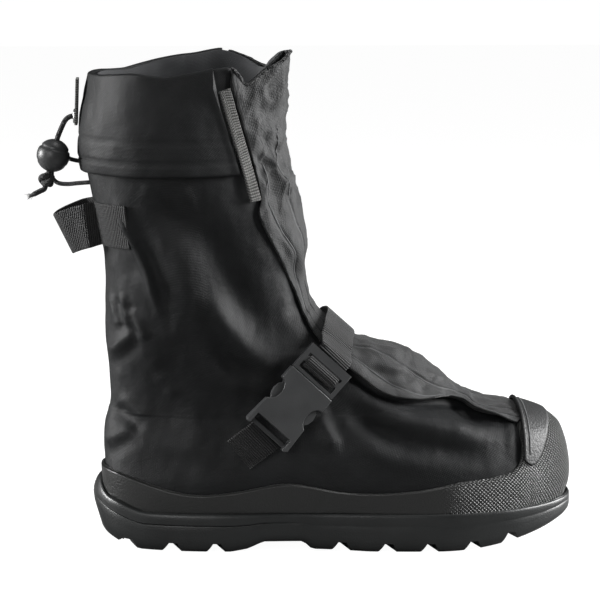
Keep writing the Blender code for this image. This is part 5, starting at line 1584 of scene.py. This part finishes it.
def panel_relief(spots, across, depth):
    """The panel's creases, and its lower edges that stand off the vamp."""
    high = smooth_step(spots[:, 2], 0.225, 0.25)
    crumple = waves(spots, PANEL_WAVES) * (1 + 0.6 * high)
    crumple += waves(spots, PANEL_CREASES, crease) * (0.25 + 0.75 * high)
    edge = smooth_step(np.abs(across), 0.70, 1.0)
    forefoot = smooth_step(spots[:, 0], 0.085, 0.115) * (1 - smooth_step(spots[:, 0], 0.205, 0.222))
    lift = 0.0042 * smooth_step(np.abs(across), 0.78, 1.0) * forefoot
    held = strap_cover(spots)
    seams = sum(np.exp(-(((across - place) / 0.022) ** 2)) for place in PANEL_SEAMS)
    sewn = 1 - smooth_step(spots[:, 2], 0.236, 0.246)
    total = (fold_height(spots, PANEL_FOLDS) + crumple) * depth - 0.0012 * seams * sewn
    total = np.maximum(total, -0.0016)
    return (total * (1 - held) + np.minimum(total, 0.0002) * held) * (1 - 0.35 * edge) + lift


def make_panel(sizes):
    """The closure panel over the front, from the toe cap to the collar."""
    levels, angles = panel_net()

    def place(u, v):
        i, j = nearest(u, PANEL_COLUMNS), nearest(v, PANEL_ROWS)
        level, angle = levels[i, j], angles[i, j]
        base, normals = surface(level, angle)
        relief = panel_relief(base, u * 2 - 1, sizes.fold_depth)
        return base + normals * (PANEL_OUT + relief)[:, None]

    mesh = grid_mesh("closure_panel", PANEL_COLUMNS, PANEL_ROWS, place)
    outward(mesh)
    panel = make_piece("closure_panel", mesh, finish("panel"), ("front_panel",), sharp=180)
    thicken(panel, PANEL_FABRIC * 0.75)


def outward(mesh):
    """Turns an open sheet's faces away from the foot."""
    tally = 0.0
    for face in mesh.polygons:
        tally += face.normal.dot(face.center - Vector((0.06, 0.0, 0.10))) * face.area
    if tally < 0:
        mesh.flip_normals()


def make_cuff(sizes):
    """The turned-down collar, folded over at both edges, behind the closure flap."""
    low = float(level_at(BOOT_HEIGHT * CUFF_BOTTOM))
    profile = [(low + (TOP_LEVEL - low) * k / 33, 1.0, 0.0) for k in range(34)]
    for turn in np.linspace(0, math.pi, 9)[1:-1]:
        profile.append((TOP_LEVEL, 0.5 + 0.5 * math.cos(turn), 0.0016 * math.sin(turn)))
    profile += [(TOP_LEVEL - (TOP_LEVEL - low) * k / 11, 0.0, 0.0) for k in range(12)]
    for turn in np.linspace(math.pi, 2 * math.pi, 9)[1:-1]:
        profile.append((low, 0.5 + 0.5 * math.cos(turn), 0.0022 * math.sin(turn)))
    levels, shares, rise = np.array(profile + profile[:1]).T
    starts, stops = [], []
    for level in levels:
        z = float(sections_at(np.array(level))[0])
        x = np.interp(z, [h * BOOT_HEIGHT for _, h in FLAP_EDGE], [x_of(s) for s, _ in FLAP_EDGE])
        x -= CUFF_GAP
        starts.append(float(side_place(x, z, 1)[1]))
        stops.append(2 * math.pi + float(side_place(x - TAPE_WIDTH, z, -1)[1]))
    starts, stops = np.array(starts), np.array(stops)

    def place(u, v):
        r = nearest(v, len(levels) - 1)
        angle = starts[r] + (stops[r] - starts[r]) * u
        base, normals = surface(levels[r], angle)
        puff = cuff_out(levels[r]) - CLEARANCE
        hem = HEM_DEPTH * sum(np.exp(-((base[:, 2] - z) / HEM_WIDTH) ** 2) for z in HEMS)
        ends = smooth_step(np.minimum(u, 1 - u), 0.0, 0.02)
        relief = (waves(base, CUFF_WAVES) * sizes.fold_depth * ends - hem) * shares[r]
        spots = base + normals * (CLEARANCE + puff * shares[r] + relief)[:, None]
        sway = rumple(np.stack((base[:, 0], base[:, 1], 0 * base[:, 2]), axis=1), 0.05, 12.0) * 0.0012
        lower = 1 - smooth_step(levels[r], low, low + 1.0)
        spots[:, 2] += rise[r] + sway * lower
        return spots

    mesh = grid_mesh("turned_cuff", CUFF_COLUMNS, len(levels) - 1, place, weld=False)
    weld_mesh(mesh, close=True)
    make_piece("turned_cuff", mesh, finish("nylon"), ("collar_cuff",), sharp=70)


def make_tape():
    """The ribbed fastening tape along the flap's outer edge."""
    foot, head = FLAP_EDGE[0], FLAP_EDGE[1]
    right = np.array([(x_of(foot[0]), foot[1] * BOOT_HEIGHT), (x_of(head[0]), head[1] * BOOT_HEIGHT)])
    right[:, 0] -= CLEARANCE * 1.5
    line = resample(right, 0.0005)
    x, z = line[:, 0] - TAPE_WIDTH / 2, line[:, 1] - TAPE_WIDTH * 0.25
    level, angle = side_place(x, z, -1)
    ribs = np.abs(np.sin(np.arange(len(x)) * math.pi * 0.0005 / 0.0021))
    centres = form(level, angle, CLEARANCE + 0.0004 + PANEL_FABRIC + 0.0006 * ribs)
    left = form(*side_place(x - 0.003, z, -1), CLEARANCE + PANEL_FABRIC)
    right_side = form(*side_place(x + 0.003, z, -1), CLEARANCE + PANEL_FABRIC)
    facing = form_normals(level, angle)[0]
    mesh = strip_mesh("hook_tape_ribs", centres, right_side - left, TAPE_WIDTH * 0.96, 0.0014, facing, 8)
    make_piece("hook_tape_ribs", mesh, finish("tab"), ("hook_tape",), sharp=60)


def belt_top():
    return np.array((x_of(STRAP_TOP[0]), 0.0, STRAP_TOP[1] * INSTEP_HEIGHT))


def belt_shift(s):
    """How far the belt lies to the toe's side at distances down its line."""
    return read(STRAP_SHIFT, s / STRAP_REACH) * WEBBING_WIDTH


@lru_cache
def taut_belt():
    """The belt line as a taut curve over the form, as (distance down, y) pairs."""
    level, angle = np.meshgrid(np.arange(BELT_ROWS[0], BELT_ROWS[1], 0.1),
                               np.radians(np.arange(-160, 160, 1.5)))
    spots = form(level, angle, BELT_OUT).reshape(-1, 3) - belt_top()
    s, w = spots @ BELT_DOWN, spots @ BELT_WIDE
    kept = (s <= STRAP_REACH) & (np.abs(w - belt_shift(s)) < WEBBING_WIDTH / 2 + 0.001)
    hull = []
    for y, a in sorted(zip(spots[kept, 1], -s[kept])):
        while len(hull) > 1 and turn_of(hull[-2], hull[-1], (a, y)) >= 0:
            hull.pop()
        hull.append((a, y))
    return np.array([(-a, y) for a, y in hull])


def turn_of(o, a, b):
    return (a[1] - o[1]) * (b[0] - a[0]) - (a[0] - o[0]) * (b[1] - a[1])


def belt_points(s_from, s_to):
    """Points of the belt line between two places, negative ones being on the outer side."""
    line = resample(taut_belt(), 0.0015)
    ridge = int(np.argmin(line[:, 0]))
    signed = np.where(np.arange(len(line)) < ridge, -line[:, 0], line[:, 0])
    kept = line[(signed >= s_from) & (signed <= s_to)]
    centres = belt_top() + BELT_DOWN * kept[:, :1] + BELT_WIDE * belt_shift(kept[:, 0])[:, None]
    centres[:, 1] = kept[:, 1]
    return centres


@lru_cache
def buckle_frame():
    """Origin at the plug's top end, then directions down the strap, across it and outward."""
    length = MALE_LENGTH + FEMALE_LENGTH
    start = BUCKLE_START * STRAP_REACH
    line = belt_points(-start - length, -start)
    low, high = line[0], line[-1]
    down = (low - high) / np.linalg.norm(low - high)
    wide = BELT_WIDE - down * BELT_WIDE.dot(down)
    wide /= np.linalg.norm(wide)
    out = np.cross(wide, down)
    out = -out if out[1] > 0 else out
    lift = max(0.0, float(((line - high) @ out).max()))
    return high + out * (lift + RIGID_GAP), down, wide, out


def make_straps():
    """The belt over the instep and the short strap that holds the buckle's socket."""
    origin, down, wide, out = buckle_frame()
    start = BUCKLE_START * STRAP_REACH
    over = belt_points(-start * 0.45, STRAP_REACH)
    entry = origin - down * STRAP_GAP + out * BUCKLE_THICKNESS * 0.30
    lead = [entry, entry - down * 0.002, entry - down * 0.004]
    strap("belt_webbing", np.vstack((lead, over)), wide, out, "instep_strap")
    end = origin + down * (MALE_LENGTH + FEMALE_LENGTH - 0.0014 + STRAP_GAP)
    end = end + out * BUCKLE_THICKNESS * 0.12
    foot = belt_points(-STRAP_REACH, -STRAP_REACH * 0.92)[::-1]
    strap("lower_webbing", np.vstack(([end, end + down * 0.002], foot)), wide, out, "anchor_strap")
    tuck = np.array([origin + down * a + out * b for a, b in BELT_TUCK])
    line = smooth_curve(tuck, 0.0006)
    mesh = strip_mesh("tucked_webbing", line, np.tile(wide, (len(line), 1)), WEBBING_WIDTH,
                      WEBBING_THICKNESS * 0.7, -down, 24)
    make_piece("tucked_webbing", mesh, finish("webbing"), sharp=60)


def strap(name, points, first_wide, face, node):
    line = smooth_curve(resample(points, 0.004), 0.0010)
    share = smooth_step(np.arange(len(line)) * 0.001, 0.002, 0.02)[:, None]
    wides = first_wide * (1 - share) + BELT_WIDE * share
    mesh = strip_mesh(name, line, wides, WEBBING_WIDTH, WEBBING_THICKNESS, face, 24)
    make_piece(name, mesh, finish("webbing"), (node,), sharp=60)


def copied_node(node):
    """A merged copy of a solid's mesh with its flat faces whole."""
    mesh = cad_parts[node].data.copy()
    mesh.materials.clear()
    bm = bmesh.new()
    bm.from_mesh(mesh)
    bmesh.ops.remove_doubles(bm, verts=bm.verts[:], dist=1e-6)
    bmesh.ops.dissolve_limit(bm, angle_limit=math.radians(2), verts=bm.verts[:], edges=bm.edges[:])
    bm.to_mesh(mesh)
    bm.free()
    return mesh


def make_buckle():
    """The side release buckle: socket and plug with softened edges."""
    for node, name in (("buckle_female", "buckle_socket"), ("buckle_male", "buckle_plug")):
        piece = make_piece(name, copied_node(node), finish("plastic"), (node,), sharp=35)
        soften = piece.modifiers.new("edges", "BEVEL")
        soften.width, soften.segments = 0.0006, 3
        soften.limit_method, soften.angle_limit = "ANGLE", math.radians(30)
        soften.harden_normals = False


def make_loop():
    """The webbing pull loop behind the shaft."""
    z = LOOP_HEIGHT * BOOT_HEIGHT
    low, high = level_at(z - LOOP_WIDTH / 2), level_at(z + LOOP_WIDTH / 2)
    back = form_points(level_at(z), math.pi)[0]
    centres, wides = [], []
    for degrees in LOOP_SEAM_ANGLES:
        angle = math.pi - math.radians(degrees)
        foot, head = form(low, angle, CLEARANCE + RIGID_GAP), form(high, angle, CLEARANCE + RIGID_GAP)
        centres.append((foot + head) / 2)
        wides.append((head - foot) / np.linalg.norm(head - foot))
    for reach, gap, drop in LOOP_STATIONS:
        lean = reach * math.radians(26)
        centres.append(np.array((back - reach * LOOP_REACH, gap * SHAFT_WIDTH, z - drop * LOOP_WIDTH)))
        wides.append(np.array((-math.sin(lean), 0.0, math.cos(lean))))
    flip = np.array((1, -1, 1))
    line = [p * flip for p in centres[:-1]] + centres[::-1]
    wide = [w * flip for w in wides[:-1]] + wides[::-1]
    both = smooth_curve(np.hstack((line, wide)), 0.0012)
    mesh = strip_mesh("loop_webbing", both[:, :3], both[:, 3:], LOOP_WIDTH, WEBBING_THICKNESS,
                      (-0.5, -1, 0), 28)
    make_piece("loop_webbing", mesh, finish("webbing"), ("pull_loop",), sharp=60)


def make_patch(sizes):
    """The half moon of leather on the toe cap, with a piped back edge."""
    back, front = x_of(CAP_BACK) + 0.0012, x_of(PATCH_FRONT)
    corner = BALL_WIDTH * 0.355
    inside = LAYER_GAP + RAND_RUBBER + CLEARANCE

    def place(u, v):
        turn = (u - 0.5) * math.pi
        y = corner * np.sin(turn)
        x = back + (front - back) * np.cos(turn) * v
        spots, normals = toe_surface(x, y)
        edge = np.minimum(smooth_step(v, 0.0, 0.05), 1 - smooth_step(v, 0.93, 1.0))
        relief = rumple(spots, 0.02, 8.0) * 0.0003
        return spots + normals * (inside + PATCH_LEATHER * (0.45 + 0.55 * edge) + relief)[:, None]

    mesh = grid_mesh("toe_half_moon", 80, 40, place)
    outward(mesh)
    patch = make_piece("toe_half_moon", mesh, finish("leather"), ("toe_patch",), sharp=60)
    thicken(patch, PATCH_LEATHER)
    y = np.linspace(-corner, corner, 90)
    spots, normals = toe_surface(np.full(90, back + PIPING_INSET), y)
    pipe = spots + normals * (inside + PATCH_LEATHER)
    make_piece("patch_piping", tube_mesh("patch_piping", resample(pipe, 0.0012), PIPING, 12),
               finish("leather"))
    y = np.linspace(-corner * 0.93, corner * 0.93, 60)
    spots, normals = toe_surface(np.full(60, back + STITCH_INSET), y)
    rows = [(spots + normals * (inside + PATCH_LEATHER), normals)]
    make_piece("patch_stitches", stitch_mesh("patch_stitches", rows, sizes.stitch_length, sizes.stitch_gap),
               finish("thread"))


def toe_surface(x, y):
    """Points and outward directions of the toe's top at places in the plan."""
    levels, angles = np.meshgrid(np.linspace(2.0, 11.0, 60), np.radians(np.linspace(-100, 100, 90)))
    net, levels, angles = form_points(levels, angles).reshape(-1, 3), levels.ravel(), angles.ravel()
    near = np.array([np.argmin((net[:, 0] - a) ** 2 + (net[:, 1] - b) ** 2) for a, b in zip(x, y)])
    level, angle, step = levels[near], angles[near], 0.01
    for _ in range(8):
        here = form_points(level, angle)
        up = (form_points(level + step, angle) - here) / step
        round_ = (form_points(level, angle + step) - here) / step
        miss_x, miss_y = x - here[:, 0], y - here[:, 1]
        area = up[:, 0] * round_[:, 1] - up[:, 1] * round_[:, 0]
        area = np.where(np.abs(area) < 1e-9, 1e-9, area)
        level = level + np.clip((miss_x * round_[:, 1] - miss_y * round_[:, 0]) / area, -0.4, 0.4)
        angle = angle + np.clip((miss_y * up[:, 0] - miss_x * up[:, 1]) / area, -0.1, 0.1)
        level = np.clip(level, 1.5, 12.0)
    return surface(level, angle)


def make_tab():
    """The eyelet tab behind the cuff and its pressed metal eyelet."""
    middle, up = tab_frame()
    out = np.array((-up[2], 0.0, up[0]))
    line = np.array([middle + up * TAB_HEIGHT * s for s in np.linspace(-0.5, 0.5, 32)])
    side = np.tile((0.0, 1.0, 0.0), (len(line), 1))
    mesh = strip_mesh("eyelet_webbing", line, side, TAB_WIDTH, TAB_THICKNESS, (-1, 0, 0), 20)
    make_piece("eyelet_webbing", mesh, finish("tab"), ("eyelet_tab",), sharp=60)
    seat = eyelet_face() + out * CLEARANCE
    outer, inner = EYELET_DIAMETER / 2, CORD_DIAMETER / 2 + CORD_ROOM
    ring = [(outer, 0.0)]
    for k in range(13):
        turn = math.pi * k / 12
        ring.append(((outer + inner) / 2 + (outer - inner) / 2 * math.cos(turn), 0.0009 * math.sin(turn)))
    ring.append((inner, 0.0))
    make_piece("pressed_eyelet", turned_mesh("pressed_eyelet", ring[1:], seat, out, 36), finish("metal"),
               ("eyelet",), sharp=60)


def make_seams(sizes):
    """Stitched rows on the panel."""
    levels, angles = panel_net()
    rows = []
    for seam in PANEL_SEAMS:
        i = int(round((seam + 1) / 2 * PANEL_COLUMNS))
        for start, stop in SEWN_STRETCHES:
            j = np.arange(int(start * PANEL_ROWS), int(stop * PANEL_ROWS))
            base, ways = surface(levels[i, j], angles[i, j])
            relief = panel_relief(base, np.full(len(base), seam), sizes.fold_depth)
            rows.append((base + ways * (PANEL_OUT + relief)[:, None], ways))
    make_piece("panel_stitches", stitch_mesh("panel_stitches", rows, sizes.stitch_length, sizes.stitch_gap),
               finish("thread"))


class OvershoeSizes(bpy.types.PropertyGroup):
    """Sizes of the finish that can be changed by themselves."""

    fold_depth: FloatProperty(name="Fold depth", description="Depth of the folds against the usual one",
                              default=1.0, min=0.0, max=1.5)
    weave_pitch: FloatProperty(name="Weave pitch", description="Distance between the nylon's threads",
                               default=0.0009, unit="LENGTH", precision=5)
    rib_pitch: FloatProperty(name="Rib pitch", description="Distance between the webbing's ribs",
                             default=0.0016, unit="LENGTH", precision=5)
    knurl_pitch: FloatProperty(name="Knurl pitch", description="Distance between the rand's lozenges",
                               default=0.0028, unit="LENGTH", precision=5)
    braid_pitch: FloatProperty(name="Braid pitch", description="Distance between the cord's plaits",
                               default=0.0013, unit="LENGTH", precision=5)
    stitch_length: FloatProperty(name="Stitch length", description="Length of a stitch that shows",
                                 default=0.0026, unit="LENGTH", precision=5)
    stitch_gap: FloatProperty(name="Stitch gap", description="Gap between two stitches",
                              default=0.0010, unit="LENGTH", precision=5)


def colour_property(name, where, value):
    return FloatVectorProperty(name=name, description="Colour of " + where, subtype="COLOR", size=3,
                               default=value, min=0.0, max=1.0)


class OvershoeColours(bpy.types.PropertyGroup):
    """Base colours of the shoe's materials."""

    sole: colour_property("Sole", "the cup sole's rubber", (0.011, 0.012, 0.012))
    rand: colour_property("Rand", "the rand's rubber", (0.018, 0.0185, 0.018))
    nylon: colour_property("Nylon", "the upper's cloth", (0.0056, 0.0061, 0.0066))
    panel: colour_property("Panel", "the closure panel's cloth", (0.0090, 0.0094, 0.0098))
    lining: colour_property("Lining", "the shaft's lining", (0.030, 0.031, 0.033))
    webbing: colour_property("Webbing", "the straps and the loop", (0.0062, 0.0064, 0.0066))
    plastic: colour_property("Plastic", "the buckle and the ball lock", (0.038, 0.039, 0.040))
    leather: colour_property("Leather", "the toe patch", (0.018, 0.0184, 0.0188))
    cord: colour_property("Cord", "the drawcord", (0.013, 0.013, 0.014))
    thread: colour_property("Thread", "the stitches", (0.055, 0.056, 0.058))
    tab: colour_property("Tab", "the eyelet's tab", (0.11, 0.11, 0.105))
    metal: colour_property("Metal", "the eyelet", (0.55, 0.55, 0.55))


class OvershoeStage(bpy.types.PropertyGroup):
    """Camera and light of the plain studio."""

    camera_turn: FloatProperty(name="Turn", description="Turn of the camera round the shoe",
                               default=math.radians(-3.0), subtype="ANGLE")
    camera_rise: FloatProperty(name="Rise", description="Rise of the camera over the floor",
                               default=math.radians(8.5), subtype="ANGLE")
    camera_distance: FloatProperty(name="Distance", description="From the camera to its aim",
                                   default=1.9, unit="LENGTH")
    aim_along: FloatProperty(name="Aim along", description="Where along the foot the camera looks",
                             default=0.0767, unit="LENGTH")
    aim_height: FloatProperty(name="Aim height", description="How high the camera looks",
                              default=0.1648, unit="LENGTH")
    lens: FloatProperty(name="Lens", description="Focal length in millimetres", default=165.7)
    key_power: FloatProperty(name="Key", description="Power of the light from the toe's side", default=44.0)
    toe_power: FloatProperty(name="Toe", description="Power of the low light before the toe", default=25.0)
    fill_power: FloatProperty(name="Fill", description="Power of the soft light on the camera's left",
                              default=12.0)
    rim_power: FloatProperty(name="Rim", description="Power of the light behind the heel", default=38.0)
    top_power: FloatProperty(name="Top", description="Power of the light overhead", default=12.0)
    room_light: FloatProperty(name="Room", description="Light from the white room", default=0.036)


class StageOperator(bpy.types.Operator):
    """Makes the pale floor, the white room, the lights and the camera"""

    bl_idname = "overshoe.stage"
    bl_label = "Stage"

    def execute(self, context):
        stage = context.scene.overshoe_stage
        make_camera(stage)
        make_world(stage.room_light)
        make_floor()
        for name, place, size in LIGHTS:
            make_light(name + "_light", place, size, getattr(stage, name + "_power"))
        context.scene.view_settings.view_transform = "Standard"
        return {"FINISHED"}


class CordsOperator(bpy.types.Operator):
    """Makes the drawcord, its ball lock, its knot and its loop"""

    bl_idname = "overshoe.cords"
    bl_label = "Cords"

    def execute(self, context):
        make_cords()
        return {"FINISHED"}


class SoleOperator(bpy.types.Operator):
    """Makes the cup sole and the insole"""

    bl_idname = "overshoe.sole"
    bl_label = "Sole"

    def execute(self, context):
        make_outsole()
        make_insole()
        return {"FINISHED"}


class UpperOperator(bpy.types.Operator):
    """Makes the folded upper with its lining"""

    bl_idname = "overshoe.upper"
    bl_label = "Upper"

    def execute(self, context):
        make_upper(context.scene.overshoe_sizes)
        return {"FINISHED"}


class RandOperator(bpy.types.Operator):
    """Makes the rubber rand and the toe patch"""

    bl_idname = "overshoe.rand"
    bl_label = "Rand"

    def execute(self, context):
        make_rand()
        make_patch(context.scene.overshoe_sizes)
        return {"FINISHED"}


class PanelOperator(bpy.types.Operator):
    """Makes the closure panel, its tape and its seams"""

    bl_idname = "overshoe.panel"
    bl_label = "Panel"

    def execute(self, context):
        make_panel(context.scene.overshoe_sizes)
        make_tape()
        make_seams(context.scene.overshoe_sizes)
        return {"FINISHED"}


class CuffOperator(bpy.types.Operator):
    """Makes the turned-down collar and the eyelet tab"""

    bl_idname = "overshoe.cuff"
    bl_label = "Cuff"

    def execute(self, context):
        make_cuff(context.scene.overshoe_sizes)
        make_tab()
        return {"FINISHED"}


class StrapsOperator(bpy.types.Operator):
    """Makes the belt, its buckle and the pull loop"""

    bl_idname = "overshoe.straps"
    bl_label = "Straps"

    def execute(self, context):
        make_straps()
        make_buckle()
        make_loop()
        return {"FINISHED"}


STEPS = (StageOperator, CordsOperator, SoleOperator, UpperOperator, RandOperator, PanelOperator,
         CuffOperator, StrapsOperator)


class OvershoePanel(bpy.types.Panel):
    """Lists the overshoe's steps in the sidebar"""

    bl_idname = "VIEW3D_PT_overshoe"
    bl_label = "Winter overshoe"
    bl_space_type = "VIEW_3D"
    bl_region_type = "UI"
    bl_category = "Overshoe"

    def draw(self, context):
        for step in STEPS:
            self.layout.operator(step.bl_idname)
        for group in (context.scene.overshoe_sizes, context.scene.overshoe_colours,
                      context.scene.overshoe_stage):
            for name in group.__annotations__:
                self.layout.prop(group, name)


GROUPS = (("overshoe_sizes", OvershoeSizes), ("overshoe_colours", OvershoeColours),
          ("overshoe_stage", OvershoeStage))


def register():
    for name, group in GROUPS:
        bpy.utils.register_class(group)
        setattr(bpy.types.Scene, name, PointerProperty(type=group))
    for step in (*STEPS, OvershoePanel):
        bpy.utils.register_class(step)


def unregister():
    for step in (OvershoePanel, *reversed(STEPS)):
        bpy.utils.unregister_class(step)
    for name, group in reversed(GROUPS):
        delattr(bpy.types.Scene, name)
        bpy.utils.unregister_class(group)


def main():
    register()
    for step in STEPS:
        family, action = step.bl_idname.split(".")
        getattr(getattr(bpy.ops, family), action)()


if __name__ == "__main__":
    main()
